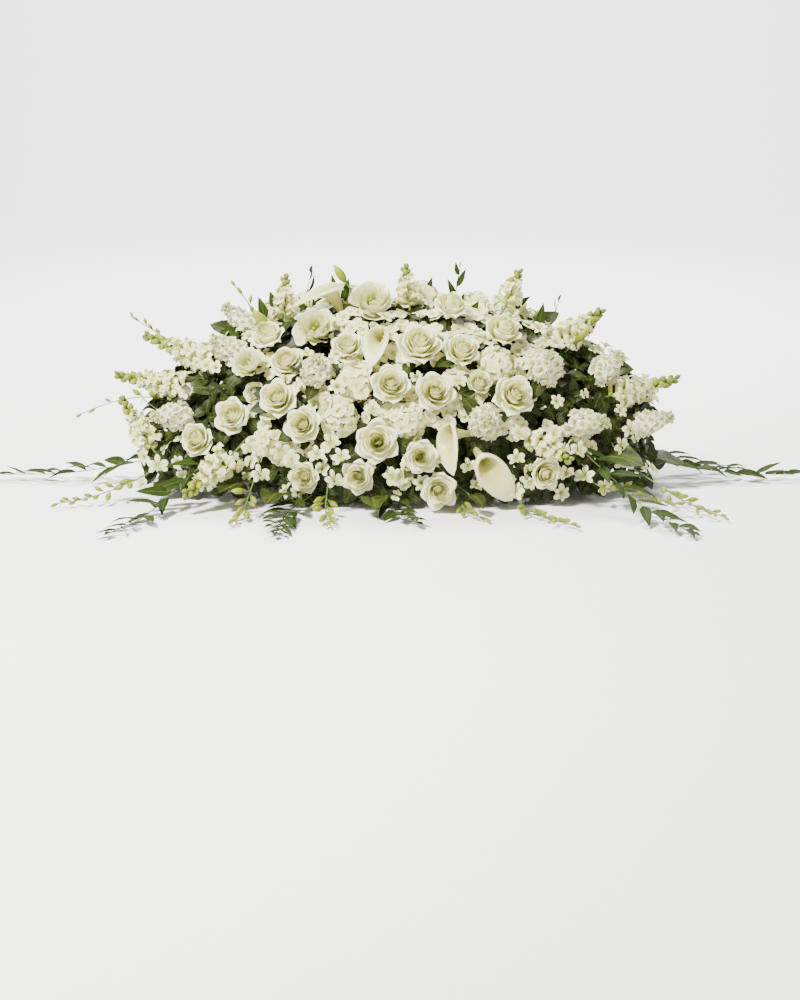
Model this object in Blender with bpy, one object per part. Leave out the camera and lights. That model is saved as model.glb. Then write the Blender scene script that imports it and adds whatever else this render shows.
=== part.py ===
"""Casket spray: white roses, lisianthus, callas, hydrangea, stock, snapdragons and dendrobium
orchids with ruscus and salal leaves, standing in floral foam on a four-legged plastic saddle.

The frame: X runs along the casket, -Y is the side that faces the mourners, +Z is up, and the
origin is on the surface under the middle of the saddle. Lengths are in metres.
"""

import math

import bmesh
import bpy
import numpy as np
from mathutils import Matrix, Vector

MM = 0.001
TOUCH = 0.3 * MM  # what two pieces keep between their faces where they touch

# The mound that the heads lie on: half of an ellipsoid, flat side down
MOUND_HALF_LENGTH = 0.700
MOUND_HALF_DEPTH = 0.340  # on its front
MOUND_BACK_DEPTH = 0.235
MOUND_HEIGHT = 0.450
MOUND_BASE = 0.020  # how far above the surface its flat side is

# The foam block and the saddle that carries it
FOAM_SIZE = Vector((0.620, 0.120, 0.080))
LEG_HEIGHT = 0.095
TRAY_FLOOR = 4 * MM
TRAY_WALL = 3 * MM
TRAY_DEPTH = 0.030
LEG_WIDTH = 0.040
LEG_THICKNESS = 6 * MM
LEG_INSET = 0.225  # from the middle of the saddle to each leg, along X
FOOT_REACH = 0.128  # the same, along Y
FOOT_LENGTH = 0.060
FOOT_WIDTH = 0.036
ARCH_HALF_LENGTH = 0.330  # the free space under the tray
ARCH_HALF_DEPTH = 0.060
FOAM_BOTTOM = LEG_HEIGHT + TRAY_FLOOR + TOUCH
FOAM_TOP = FOAM_BOTTOM + FOAM_SIZE.z

# Each bunch of stems is gathered on one pick, pushed into a plain hole in the foam
PICK_RADIUS = 6 * MM
PICK_DEPTH = 0.045
PICK_PROUD = 0.016
PICK_SIDES = 6
PICK_LEAD = 0.030  # how far a trailing stem runs straight out of its pick
HOLE_SPARE = 0.5 * MM
STEM_RADIUS = 2.6 * MM
STALK_RADIUS = 1.6 * MM
STEM_STEPS = 2
SEAT_RADIUS = 7 * MM  # the top of a calyx, which the foot of a head sits on
CALYX_LENGTH = 10 * MM
SWAYS = tuple(amount * MM for amount in (0, 15, 30, 50, 75, 100, 130))  # how far a stem may bend aside
SWAY_WAYS = 8  # to how many sides
LEAD_SHARE = 0.35  # the share of a stem that runs straight at each end, and the longest such run
LEAD_MOST = 0.090
CROWDED = 5  # a stem's first points, between its neighbours at the knot
SPARE = 1.5 * MM  # what a stem keeps clear of all but its own bunch

UP = Vector((0, 0, 1))
SETTLE_ROUNDS = 60
SETTLE_REACH = 0.25  # heads further apart than this never meet
HEAD_GAP = 0.8 * MM
HEAD_LIFT = 4 * MM  # what a low head keeps above the surface

# A head's length as a share of its width, and how much of that length is behind its middle
HEAD_LENGTHS = {"rose": 0.68, "lisianthus": 0.62, "hydrangea": 0.85, "calla": 1.0, "stock": 1.0}
FOOT_SHARES = {"rose": 0.62, "lisianthus": 0.66, "hydrangea": 0.50, "calla": 0.95, "stock": 0.50}

# The layers of a rose and of a lisianthus, from the outside in. Each row is one ring: its
# radius and height as shares of the head's, how far petals bulge and dip, and a half turn
PETALS = 5
ROSE_ROWS = (
    (0.62, 0.28, 0.03, 0.00, 0),
    (0.97, 0.62, 0.07, 0.03, 0),
    (0.74, 0.55, 0.02, 0.00, 0),
    (0.70, 0.86, 0.06, 0.04, 1),
    (0.46, 0.72, 0.02, 0.00, 1),
    (0.36, 0.98, 0.08, 0.02, 0),
)
ROSE_HEART = 0.86
LISIANTHUS_ROWS = (
    (0.50, 0.30, 0.03, 0.00, 0),
    (0.96, 0.78, 0.08, 0.06, 0),
    (0.62, 0.52, 0.03, 0.00, 0),
    (0.74, 0.93, 0.08, 0.06, 1),
    (0.36, 0.50, 0.03, 0.00, 1),
    (0.13, 0.48, 0.00, 0.00, 1),
    (0.11, 0.80, 0.00, 0.00, 1),
)
LISIANTHUS_HEART = 0.86
STOCK_ROWS = (
    (0.52, 0.12, 0.02, 0.00, 0),
    (0.93, 0.27, 0.12, 0.06, 0),
    (0.62, 0.38, 0.02, 0.00, 0),
    (0.92, 0.57, 0.13, 0.06, 1),
    (0.54, 0.67, 0.02, 0.00, 1),
    (0.56, 0.88, 0.16, 0.05, 0),
)
STOCK_HEART = 0.93
HYDRANGEA_PETALS = 6
HYDRANGEA_ROWS = (
    (0.70, 0.14, 0.05, 0.02, 0),
    (0.93, 0.38, 0.08, 0.05, 0),
    (0.83, 0.52, 0.03, 0.00, 0),
    (0.86, 0.66, 0.10, 0.05, 1),
    (0.60, 0.78, 0.03, 0.00, 1),
    (0.46, 0.92, 0.12, 0.05, 0),
)
HYDRANGEA_HEART = 0.90
HEAD_LAYERS = {
    "rose": (ROSE_ROWS, ROSE_HEART, PETALS),
    "lisianthus": (LISIANTHUS_ROWS, LISIANTHUS_HEART, PETALS),
    "stock": (STOCK_ROWS, STOCK_HEART, PETALS),
    "hydrangea": (HYDRANGEA_ROWS, HYDRANGEA_HEART, HYDRANGEA_PETALS),
}
CALLA_SIDES = 8
CALLA_WALL = 1.5 * MM
CALLA_FOOT_RADIUS = 5 * MM
# A calla's outside from its foot up, as radius, height and how far its tip side is drawn out,
# each a share of its width or of its length; then the share of its width that its lip has
CALLA_FUNNEL = ((0.10, 0.35, 0.0), (0.17, 0.62, 0.0), (0.30, 0.85, 0.1))
CALLA_LIP = 0.42
CALLA_FLARE = 0.45
CALLA_TIP_DROP = 0.10
CALLA_SIDE_RISE = 0.07
CALLA_BALLS = ((0.0, 0.46), (-0.5, 0.20))  # the balls it fits in: place and radius over its width
SPADIX_RADIUS = 4 * MM
SPADIX_HEIGHTS = (0.45, 0.50, 0.92, 0.98)  # the throat, its corner, the spadix's shoulder and tip
NOTCH = 0.42  # how far in the gaps between a small flower's petals reach
STAR_CUP = 0.15  # how far its petals' tips stand up, and how low its middle is
STAR_DIP = 0.12

RUSCUS_LEAF = 0.066
RUSCUS_SPREAD = 0.85  # the angle between a leaf and its stem
RUSCUS_TURNS = (0.35, 0.0, 0.8, -0.4, 1.2)  # how far a leaf may turn up or down
RUSCUS_BARE = 0.36  # the share of a strand that is inside the mound
RUSCUS_END = 0.97  # the share where its last leaf starts
RUSCUS_SPARE = 3 * MM
SALAL_SHARES = (0.82, 1.0, 0.66)
RIB_THICKNESS = 1.6 * MM
SCRAP_POINTS = 16  # a body with fewer points than this is a scrap of a union
LEAF_ARCH = 0.08  # the height of a leaf's arch as a share of its length
LEAF_FOLD = 0.12  # how far its edges stand above its rib, as a share of its width
COLLAR_LEAF = 0.062
COLLAR_WIDTH = 0.034
COLLAR_RISES = (0.5, 0.9, 0.1)  # how far it may lean ahead, tried in this order
COLLAR_WAYS = 12  # to how many sides
COLLAR_ARCH = 0.05
LEAF_SPARE = 4 * MM
SPIKE_PETALS = 3
SPIKE_ROOT = 12 * MM  # how far a spike's stem runs on inside it
SPIKE_BODY = 0.4  # the share of its width that other stems keep out of
SPIKE_ROWS = (
    (0.70, 0.12, 0.38, 0.03, 0),
    (0.26, 0.19, 0.00, 0.00, 0),
    (0.64, 0.31, 0.40, 0.03, 1),
    (0.24, 0.36, 0.00, 0.00, 0),
    (0.50, 0.48, 0.42, 0.03, 0),
    (0.20, 0.53, 0.00, 0.00, 0),
    (0.36, 0.65, 0.42, 0.03, 1),
    (0.14, 0.70, 0.00, 0.00, 0),
    (0.22, 0.82, 0.40, 0.03, 0),
)
ORCHID_RADIUS = 0.024
ORCHID_STALK = 0.019
ORCHID_BARE = 0.45  # the share of a spray before its first flower
ORCHID_STEP = 0.085  # the share from one flower to the next
ORCHID_BUD = 0.030

COLOURS = {
    "rose": ((0.90, 0.88, 0.78), 0.55),
    "lisianthus": ((0.90, 0.90, 0.84), 0.55),
    "callas": ((0.90, 0.88, 0.74), 0.40),
    "hydrangeas": ((0.84, 0.86, 0.72), 0.60),
    "stock": ((0.92, 0.91, 0.88), 0.60),
    "snapdragons": ((0.80, 0.84, 0.60), 0.55),
    "orchids": ((0.78, 0.80, 0.35), 0.45),
    "greenery": ((0.10, 0.18, 0.06), 0.45),
    "foam": ((0.07, 0.20, 0.10), 0.95),
    "saddle": ((0.04, 0.10, 0.05), 0.40),
}

# Where the heads stand, in millimetres: x, the height over the mound's flat side, the width,
# and how far the head stands proud of the mound. The mound gives the depth y.
ROSES = [
    (-300, 355, 84, 0),
    (-255, 310, 90, -16),
    (-268, 222, 92, 10),
    (-372, 190, 88, -6),
    (-455, 128, 86, 6),
    (-212, 172, 88, 22),
    (-212, 58, 74, 8),
    (-92, 60, 78, 6),
    (-45, 140, 98, 14),
    (-20, 252, 92, 12),
    (75, 240, 96, 4),
    (40, 340, 106, 10),
    (132, 330, 88, 0),
    (115, 412, 84, 8),
    (232, 365, 90, 4),
    (252, 232, 96, 12),
    (178, 262, 66, 4),
    (55, 112, 80, 18),
    (85, 32, 86, 14),
    (325, 60, 80, 0),
    (-112, 338, 82, -6),
    (-335, 238, 60, -22),
]
BACK_ROSES = [
    (-345, 235, 88, 0),
    (-205, 300, 90, 0),
    (-60, 250, 92, 0),
    (85, 305, 90, 0),
    (215, 225, 90, 0),
    (350, 250, 86, 0),
    (-225, 395, 84, 0),
    (178, 395, 86, 0),
]
LISIANTHUS = [(-338, 288, 76, 8), (-190, 372, 98, 0), (-62, 425, 106, 0)]
BACK_LISIANTHUS = [(-40, 345, 96, 0)]
HYDRANGEAS = [(-98, 268, 92, -30), (-135, 200, 92, -22), (8, 190, 94, -26), (215, 300, 88, -24)]
BACK_HYDRANGEAS = [
    (-135, 438, 100, -34),
    (48, 446, 100, -40),
    (-290, 398, 96, -36),
    (262, 406, 96, -40),
]

# A calla: its middle, the way it faces, the way its tip points, and its width
CALLAS = [
    ((-172, -70, 418), (-0.55, -0.55, 0.62), (-0.9, 0.0, 0.30), 92),
    ((-38, -206, 352), (0.05, -0.80, 0.60), (0.3, -0.5, 0.2), 78),
    ((112, -322, 150), (-0.35, -0.90, 0.28), (0.5, -0.1, -0.9), 88),
    ((205, -335, 66), (0.15, -0.95, 0.28), (0.5, -0.1, -0.9), 92),
]

# A head of stock: its middle, the way it grows, its length and its diameter
STOCKS = [
    ((-372, -30, 372), (-0.75, 0.0, 0.66), 108, 70),
    ((-392, -140, 318), (-0.72, -0.50, 0.48), 104, 72),
    ((-515, -190, 170), (-0.85, -0.45, 0.10), 116, 76),
    ((-186, -250, 292), (0.0, -0.72, 0.69), 76, 84),
    ((172, -308, 172), (0.05, -0.95, 0.30), 76, 90),
    ((328, -205, 292), (0.15, -0.72, 0.68), 84, 92),
    ((420, -238, 162), (0.75, -0.62, 0.22), 110, 80),
    ((575, -140, 150), (0.90, -0.25, 0.34), 116, 68),
    ((474, -128, 278), (0.62, -0.40, 0.67), 100, 76),
]
BACK_STOCKS = [
    ((-80, 215, 150), (-0.1, 0.95, 0.30), 84, 84),
    ((-250, 195, 130), (-0.3, 0.90, 0.30), 88, 84),
    ((120, 215, 120), (0.1, 0.95, 0.30), 84, 84),
    ((330, 180, 110), (0.4, 0.85, 0.30), 92, 82),
]

# A snapdragon spike, by its pick: the foot of its flowers, its tip and its width
SNAPDRAGONS = {
    "left": [
        ((-400, -95, 268), (-592, -10, 330), 58),
        ((-480, -80, 215), (-655, -40, 240), 54),
        ((-560, -130, 80), (-640, -75, 195), 50),
        ((-375, -280, 96), (-470, -372, 24), 54),
    ],
    "top": [
        ((-262, -62, 375), (-262, -28, 470), 46),
        ((22, -55, 400), (12, -20, 492), 46),
        ((238, -68, 400), (272, -30, 478), 48),
    ],
    "right": [
        ((360, -80, 318), (462, -30, 388), 56),
        ((470, -130, 205), (640, -40, 232), 56),
        ((300, -275, 140), (372, -352, 98), 48),
    ],
}

# A dendrobium spray, by its pick: the points that its stem passes, in millimetres over the
# surface, then how many open flowers and pairs of buds it has
ORCHIDS = {
    "left": [
        (((-420, -85, 150), (-560, -190, 64), (-680, -262, 22), (-760, -292, 12)), 3, 6),
        (((-290, -190, 150), (-318, -315, 76), (-338, -410, 22), (-358, -480, 12)), 3, 5),
        (((-380, 10, 250), (-490, 20, 300), (-575, 60, 350), (-632, 85, 380)), 0, 6),
        (((-150, -170, 140), (-158, -330, 62), (-160, -420, 20), (-148, -500, 12)), 3, 5),
    ],
    "right": [
        (((380, -90, 130), (520, -215, 76), (620, -340, 28), (700, -440, 12)), 3, 6),
        (((270, -150, 110), (270, -335, 18), (310, -430, 12), (372, -520, 12)), 2, 5),
        (((350, -130, 96), (440, -270, 48), (520, -340, 42), (610, -412, 34)), 2, 5),
        (((120, -180, 80), (138, -330, 16), (155, -400, 12), (185, -440, 12)), 1, 4),
    ],
}

# A ruscus strand of a greenery bunch: the points that its stem passes, in millimetres over the
# surface, and its pairs of leaves
RUSCUS = {
    "left": [
        (((-350, -25, 205), (-560, -5, 70), (-760, 8, 24), (-925, 16, 16)), 9),
        (((-300, -120, 196), (-486, -288, 52), (-548, -430, 14), (-600, -575, 12)), 8),
        (((-180, 20, 330), (-205, 10, 400), (-212, 5, 450), (-205, 10, 490)), 3),
    ],
    "front": [
        (((-110, -190, 76), (-228, -330, 16), (-250, -450, 12), (-258, -575, 12)), 7),
        (((-30, -190, 70), (-12, -330, 14), (0, -410, 12), (34, -480, 12)), 5),
    ],
    "right": [
        (((350, -25, 205), (560, -8, 70), (760, 6, 24), (925, 16, 16)), 9),
        (((300, -120, 204), (430, -290, 104), (530, -430, 30), (605, -575, 12)), 8),
        (((340, 50, 205), (520, 75, 80), (680, 90, 30), (800, 100, 14)), 7),
        (((130, 40, 330), (128, 60, 410), (132, 60, 455), (140, 58, 496)), 3),
        (((260, 10, 300), (330, 0, 350), (352, 0, 390), (366, 4, 425)), 3),
    ],
    "back": [
        (((-200, 180, 120), (-330, 340, 34), (-400, 470, 14), (-440, 575, 12)), 8),
        (((180, 180, 120), (300, 340, 34), (370, 470, 14), (420, 575, 12)), 8),
    ],
}

# A salal leaf: the foot of its blade, its tip, the way its face looks, and its width
SALAL = {
    "left": [
        ((-330, 20, 300), (-440, 5, 352), (-0.3, -0.6, 0.7), 62),
        ((-400, -120, 220), (-490, -175, 232), (-0.2, -0.6, 0.8), 56),
        ((-330, -260, 40), (-395, -360, 30), (-0.2, -0.5, 0.8), 62),
        ((-455, -130, 44), (-555, -218, 6), (-0.3, -0.3, 0.9), 64),
        ((-440, 30, 170), (-560, 60, 190), (-0.3, 0.0, 0.9), 60),
    ],
    "front": [
        ((-262, -310, 20), (-290, -400, 12), (0.0, -0.3, 0.9), 60),
        ((-62, -330, 14), (-52, -430, 8), (0.0, -0.3, 0.9), 62),
        ((152, -330, 20), (182, -400, 4), (0.0, -0.3, 0.9), 34),
    ],
    "right": [
        ((440, 0, 240), (540, -20, 250), (0.2, -0.7, 0.7), 62),
        ((450, -200, 80), (540, -268, 70), (0.2, -0.7, 0.7), 66),
        ((540, -70, 60), (655, -120, 40), (0.3, -0.3, 0.9), 60),
        ((300, 60, 320), (372, 60, 372), (0.2, -0.6, 0.7), 52),
    ],
    "back": [
        ((-430, 110, 110), (-540, 160, 80), (-0.3, 0.5, 0.8), 70),
        ((-170, 250, 80), (-190, 340, 30), (-0.1, 0.7, 0.7), 70),
        ((0, 250, 80), (10, 345, 30), (0.0, 0.7, 0.7), 70),
        ((210, 240, 70), (240, 330, 24), (0.1, 0.7, 0.7), 70),
        ((430, 120, 110), (540, 170, 80), (0.3, 0.5, 0.8), 70),
        ((-400, 90, 250), (-490, 120, 262), (-0.3, 0.5, 0.8), 64),
        ((400, 70, 270), (480, 100, 276), (0.3, 0.5, 0.8), 64),
    ],
}

# Each bunch's pick: the face of the foam that it enters, its x, and its y or its z there
PICKS = {
    "orchids_left": ("front", -215, 152),
    "orchids_right": ("front", 215, 152),
    "snapdragons_left": ("top", -270, 20),
    "snapdragons_top": ("top", -40, 24),
    "snapdragons_right": ("top", 270, 20),
    "callas": ("front", 75, 152),
    "hydrangeas": ("top", 0, -26),
    "greenery_left": ("top", -150, -8),
    "greenery_front": ("front", -70, 152),
    "greenery_right": ("top", 150, -8),
    "greenery_back": ("back", 20, 152),
}
# The bunches whose heads are one body with their stems
WHOLE_BUNCHES = {"calla": "callas", "hydrangea": "hydrangeas"}


def on_mound(x, height, depth):
    """The mound's point at x and at a height over its base, and the way out of the mound there."""
    rest = 1 - (x / MOUND_HALF_LENGTH) ** 2 - (height / MOUND_HEIGHT) ** 2
    y = depth * math.sqrt(max(rest, 0.0))
    out = Vector((x / MOUND_HALF_LENGTH**2, y / depth**2, height / MOUND_HEIGHT**2))
    return Vector((x, y, height + MOUND_BASE)), out.normalized()


def raised(point):
    """A point in millimetres over the mound's flat side, in metres over the surface."""
    return Vector(point) * MM + UP * MOUND_BASE


class Head:
    """A bloom on a seat of its own: its middle, the way it looks, its width and its length."""

    def __init__(self, name, kind, middle, facing, width, length=None, lean=None):
        self.name = name
        self.kind = kind
        self.middle = Vector(middle)
        self.facing = Vector(facing).normalized()
        self.width = width
        self.length = length or width * HEAD_LENGTHS[kind]
        self.lean = lean

    def foot(self):
        return self.middle - self.facing * self.length * FOOT_SHARES[self.kind]

    def balls(self):
        """The balls that the head fits in, as places along its axis and a radius."""
        if self.kind == "calla":
            ahead = self.facing * self.width
            return [(self.middle + ahead * place, self.width * radius) for place, radius in CALLA_BALLS]
        spare = max(self.length - self.width, 0) / 2 if self.kind == "stock" else 0.0
        steps = (-1, 0, 1) if spare else (0,)
        return [(self.middle + self.facing * spare * step, self.width / 2) for step in steps]


def mound_head(name, kind, row, depth):
    """A head from its row of a table, where the mound reaches so far back or, below zero, front."""
    x, height, width, proud = (value * MM for value in row)
    place, out = on_mound(x, height, depth)
    return Head(name, kind, place + out * proud, out, width)


def all_heads():
    heads = []
    for kind, front, back in (
        ("rose", ROSES, BACK_ROSES),
        ("lisianthus", LISIANTHUS, BACK_LISIANTHUS),
        ("hydrangea", HYDRANGEAS, BACK_HYDRANGEAS),
    ):
        rows = [(row, -MOUND_HALF_DEPTH) for row in front] + [(row, MOUND_BACK_DEPTH) for row in back]
        for number, (row, depth) in enumerate(rows, 1):
            heads.append(mound_head(f"{kind}_{number:02d}", kind, row, depth))
    for number, (middle, facing, lean, width) in enumerate(CALLAS, 1):
        calla = Head(f"calla_{number:02d}", "calla", raised(middle), facing, width * MM)
        calla.lean = Vector(lean)
        heads.append(calla)
    for number, (middle, facing, length, width) in enumerate(STOCKS + BACK_STOCKS, 1):
        name = f"stock_{number:02d}"
        heads.append(Head(name, "stock", raised(middle), facing, width * MM, length * MM))
    return heads


def settle(heads):
    """Moves heads apart until the balls round them no longer meet."""
    for _ in range(SETTLE_ROUNDS):
        for i, one in enumerate(heads):
            for other in heads[i + 1 :]:
                if (one.middle - other.middle).length < SETTLE_REACH:
                    push_apart(one, other)
        for head in heads:
            head.middle.z = max(head.middle.z, head.width / 2 + HEAD_LIFT)


def push_apart(one, other):
    for place, radius in one.balls():
        for rival, rival_radius in other.balls():
            gap = place - rival
            overlap = radius + rival_radius + HEAD_GAP - gap.length
            if overlap > 0:
                push = gap.normalized() * overlap * 0.5
                one.middle += push
                other.middle -= push
                return


class Space:
    """What is in place already, as balls with an owner each, so that what comes next bends clear."""

    def __init__(self, boxes):
        self.boxes = boxes
        self.owners = []
        self.places = np.zeros((0, 3))
        self.radii = np.zeros(0)

    def fill(self, owner, places, radius):
        self.owners += [owner] * len(places)
        self.places = np.vstack([self.places, np.array([tuple(p) for p in places])])
        self.radii = np.append(self.radii, np.full(len(places), radius))

    def is_clear(self, allowed, places, radius):
        points = np.array([tuple(p) for p in places])
        if points[:, 2].min() < radius:
            return False
        for low, high in self.boxes:
            outside = np.maximum(np.maximum(np.array(low) - points, points - np.array(high)), 0)
            if np.linalg.norm(outside, axis=1).min() < radius + SPARE:
                return False
        strange = np.array([owner not in allowed for owner in self.owners])
        gaps = np.linalg.norm(points[:, None] - self.places[None, strange], axis=2)
        return bool((gaps > self.radii[strange] + radius + SPARE).all())


def keep_out_boxes():
    """The foam in its tray and the space under the tray, which no stem may cross."""
    half = FOAM_SIZE / 2 + Vector((TRAY_WALL + TOUCH, TRAY_WALL + TOUCH, 0))
    tray = ((-half.x, -half.y, LEG_HEIGHT), (half.x, half.y, FOAM_TOP))
    arch = ((-ARCH_HALF_LENGTH, -ARCH_HALF_DEPTH, 0), (ARCH_HALF_LENGTH, ARCH_HALF_DEPTH, LEG_HEIGHT))
    return [tray, arch]


def bezier(a, b, c, d, steps):
    shares = [step / steps for step in range(steps + 1)]
    return [
        a * (1 - t) ** 3 + b * 3 * t * (1 - t) ** 2 + c * 3 * t**2 * (1 - t) + d * t**3 for t in shares
    ]


def smooth(points, steps):
    """A smooth line through the points, in so many steps from each to the next."""
    line = [points[0]]
    ends = [points[0] * 2 - points[1], *points, points[-1] * 2 - points[-2]]
    for before, start, stop, after in zip(ends, ends[1:], ends[2:], ends[3:]):
        line += bezier(start, start + (stop - before) / 6, stop - (after - start) / 6, stop, steps)[1:]
    return line


def dense(line, step=5 * MM):
    """The line's points with others between them, none further than a step apart."""
    places = [line[0]]
    for start, stop in zip(line, line[1:]):
        count = max(1, math.ceil((stop - start).length / step))
        places += [start.lerp(stop, n / count) for n in range(1, count + 1)]
    return places


def at_share(line, share):
    """The place at a share of the line's length, and the way the line runs there."""
    lengths = [(stop - start).length for start, stop in zip(line, line[1:])]
    left = share * sum(lengths)
    for start, stop, length in zip(line, line[1:], lengths):
        if left <= length or stop is line[-1]:
            return start.lerp(stop, min(left / length, 1)), (stop - start).normalized()
        left -= length


def sleeve(rings):
    """The sides between rings, anticlockwise seen from ahead, and their flat ends."""
    size = len(rings[0])
    end = len(rings) * size
    faces = [tuple(range(size))[::-1], tuple(range(end - size, end))]
    for start in range(0, end - size, size):
        for i in range(size):
            j = (i + 1) % size
            faces.append((start + i, start + j, start + size + j))
            faces.append((start + i, start + size + j, start + size + i))
    return [point for ring in rings for point in ring], faces


def loft(first, rings, last):
    """A closed skin from a first point over rings, anticlockwise seen from ahead, to a last point."""
    points, faces = sleeve(rings)
    size, end = len(rings[0]), len(points)
    for i in range(size):
        j = (i + 1) % size
        faces.append((end, j, i))
        faces.append((end + 1, end - size + i, end - size + j))
    return points + [first, last], faces[2:]


def placed(shape, matrix):
    points, faces = shape
    return [matrix @ Vector(point) for point in points], faces


def aimed(place, facing, turn=0.0):
    """The matrix that puts a piece at a place, its own Z along the way it faces."""
    aim = Vector(facing).to_track_quat("Z", "Y").to_matrix().to_4x4()
    return Matrix.Translation(place) @ aim @ Matrix.Rotation(turn, 4, "Z")


def circle(radius, height, sides, turn=0.0):
    angles = [math.tau * i / sides + turn for i in range(sides)]
    return [Vector((radius * math.cos(a), radius * math.sin(a), height)) for a in angles]


def tube(line, radii, sides=3):
    """A round bar along a line, with a radius at each of its points."""
    rings = []
    across = None
    for i, place in enumerate(line):
        ahead = (line[min(i + 1, len(line) - 1)] - line[max(i - 1, 0)]).normalized()
        across = across or ahead.orthogonal()
        across = (across - ahead * across.dot(ahead)).normalized()
        side = ahead.cross(across)
        ring = [across * p.x + side * p.y + place for p in circle(radii[i], 0, sides)]
        rings.append(ring)
    return sleeve(rings)


def scalloped(radius, height, bulge, dip, turned, petals):
    """A ring that runs out and up in the middle of each petal, in and down between them."""
    ring = []
    for i in range(2 * petals):
        sign = 1 if i % 2 == turned else -1
        angle = math.pi * i / petals
        reach = radius * (1 + sign * bulge)
        ring.append(Vector((reach * math.cos(angle), reach * math.sin(angle), height + sign * dip)))
    return ring


def petalled(width, length, rows, heart, petals):
    """A head of petals in layers: each row is a ring of shares of its radius and length."""
    radius = width / 2
    rings = []
    for share, height, bulge, dip, turned in rows:
        ring = scalloped(radius * share, length * height, bulge, length * dip, turned, petals)
        rings.append(ring)
    return loft(Vector((0, 0, 0)), rings, Vector((0, 0, length * heart)))


def star(place, facing, radius, lobes, turn, root):
    """A small flower of pointed petals round a low middle, on a root that sinks into its stalk."""
    ring = []
    for i in range(2 * lobes):
        angle = math.pi * i / lobes
        reach = radius if i % 2 == 0 else radius * NOTCH
        height = radius * STAR_CUP if i % 2 == 0 else 0
        ring.append(Vector((reach * math.cos(angle), reach * math.sin(angle), height)))
    shape = loft(Vector((0, 0, -root)), [ring], Vector((0, 0, -radius * STAR_DIP)))
    return placed(shape, aimed(place, facing, turn))


def bud_ring(line, share, thickness, length):
    """A ring drawn out to the tips of two buds, one on each side of a stem."""
    rib, along, across, up = rib_frame(line, share)
    tips = []
    for side in (1, -1):
        tip = rib + (across * side * 0.7 + along * 0.6 + up * 0.3) * length
        tips.append(Vector((tip.x, tip.y, max(tip.z, 5 * MM))))
    return [tips[0], rib + up * thickness, tips[1], rib - up * thickness]


def rib_frame(line, share):
    """A place on a line, with the ways along it, across it on the level, and up from it."""
    rib, along = at_share(line, share)
    across = UP.cross(along)
    if across.length < 0.4:
        across = UP.cross(line[-1] - line[0])
    across = (across - along * across.dot(along)).normalized()
    return rib, along, across, along.cross(across)


def rib_ring(line, share, radius):
    """The four corners of a bare rib: right, top, left and bottom."""
    rib, along, across, up = rib_frame(line, share)
    return [rib + across * radius, rib + up * radius, rib - across * radius, rib - up * radius]


def rib_point(foot, tip, face, t, arch):
    """The place on an arched leaf's rib at a share of its length."""
    along = tip - foot
    up = (face - along * face.dot(along) / along.length_squared).normalized()
    return foot + along * t + up * along.length * arch * math.sin(math.pi * t)


def blade_ring(rib, along, face, width, lift, thickness):
    """The corners of a leaf over one place on its rib: right, top, left and bottom."""
    side = face.cross(along).normalized()
    up = along.cross(side)
    reach, edge, half = side * width / 2, up * lift, up * thickness / 2
    return [rib + reach + edge, rib + half, rib - reach + edge, rib - half]


def blade_rings(foot, tip, face, width, shares, arch=LEAF_ARCH):
    """The rings of an arched leaf, its width given as shares at equal steps along it."""
    along = (tip - foot).normalized()
    rings = []
    for i, share in enumerate(shares, 1):
        rib = rib_point(foot, tip, face, i / (len(shares) + 1), arch)
        rings.append(blade_ring(rib, along, face, width * share, width * share * LEAF_FOLD, RIB_THICKNESS))
    return rings


def object_of(name, shape):
    mesh = bpy.data.meshes.new(name)
    points, faces = shape
    mesh.from_pydata([tuple(point) for point in points], [], faces)
    mesh.validate()
    thing = bpy.data.objects.new(name, mesh)
    bpy.context.scene.collection.objects.link(thing)
    return thing


def drop_scraps(mesh):
    """Removes the crumbs and sealed hollows that a union can leave beside the main body."""
    build = bmesh.new()
    build.from_mesh(mesh)
    unseen = set(build.verts)
    while unseen:
        island = {unseen.pop()}
        edge = set(island)
        while edge:
            edge = {e.other_vert(v) for v in edge for e in v.link_edges} - island
            island |= edge
        unseen -= island
        if len(island) < SCRAP_POINTS:
            bmesh.ops.delete(build, geom=list(island), context="VERTS")
    build.to_mesh(mesh)
    build.free()


def fused(name, shapes, operation="UNION"):
    """One object of the first shape joined with the others, or cut by them."""
    base, *rest = [object_of(f"{name}_piece", shape) for shape in shapes]
    group = bpy.data.collections.new(f"{name}_pieces")
    bpy.context.scene.collection.children.link(group)
    for piece in rest:
        bpy.context.scene.collection.objects.unlink(piece)
        group.objects.link(piece)
    join = base.modifiers.new("join", "BOOLEAN")
    join.operation = operation
    join.operand_type = "COLLECTION"
    join.collection = group
    join.solver = "MANIFOLD"
    graph = bpy.context.evaluated_depsgraph_get()
    mesh = bpy.data.meshes.new_from_object(base.evaluated_get(graph))
    drop_scraps(mesh)
    base.modifiers.remove(join)
    base.data = mesh
    for piece in rest:
        bpy.data.objects.remove(piece)
    bpy.data.collections.remove(group)
    base.name = name
    return base


def finished(thing, material, sharp=math.radians(50)):
    """Names, shades and colours a finished piece."""
    colour, roughness = COLOURS[material]
    surface = bpy.data.materials.get(material) or bpy.data.materials.new(material)
    surface.use_nodes = True
    shader = surface.node_tree.nodes["Principled BSDF"]
    shader.inputs["Base Color"].default_value = (*colour, 1)
    shader.inputs["Roughness"].default_value = roughness
    shader.inputs["Metallic"].default_value = 0
    thing.data.materials.clear()
    thing.data.materials.append(surface)
    thing.data.name = thing.name
    thing.data.shade_smooth()
    thing.data.set_sharp_from_angle(angle=sharp)
    return thing


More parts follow.
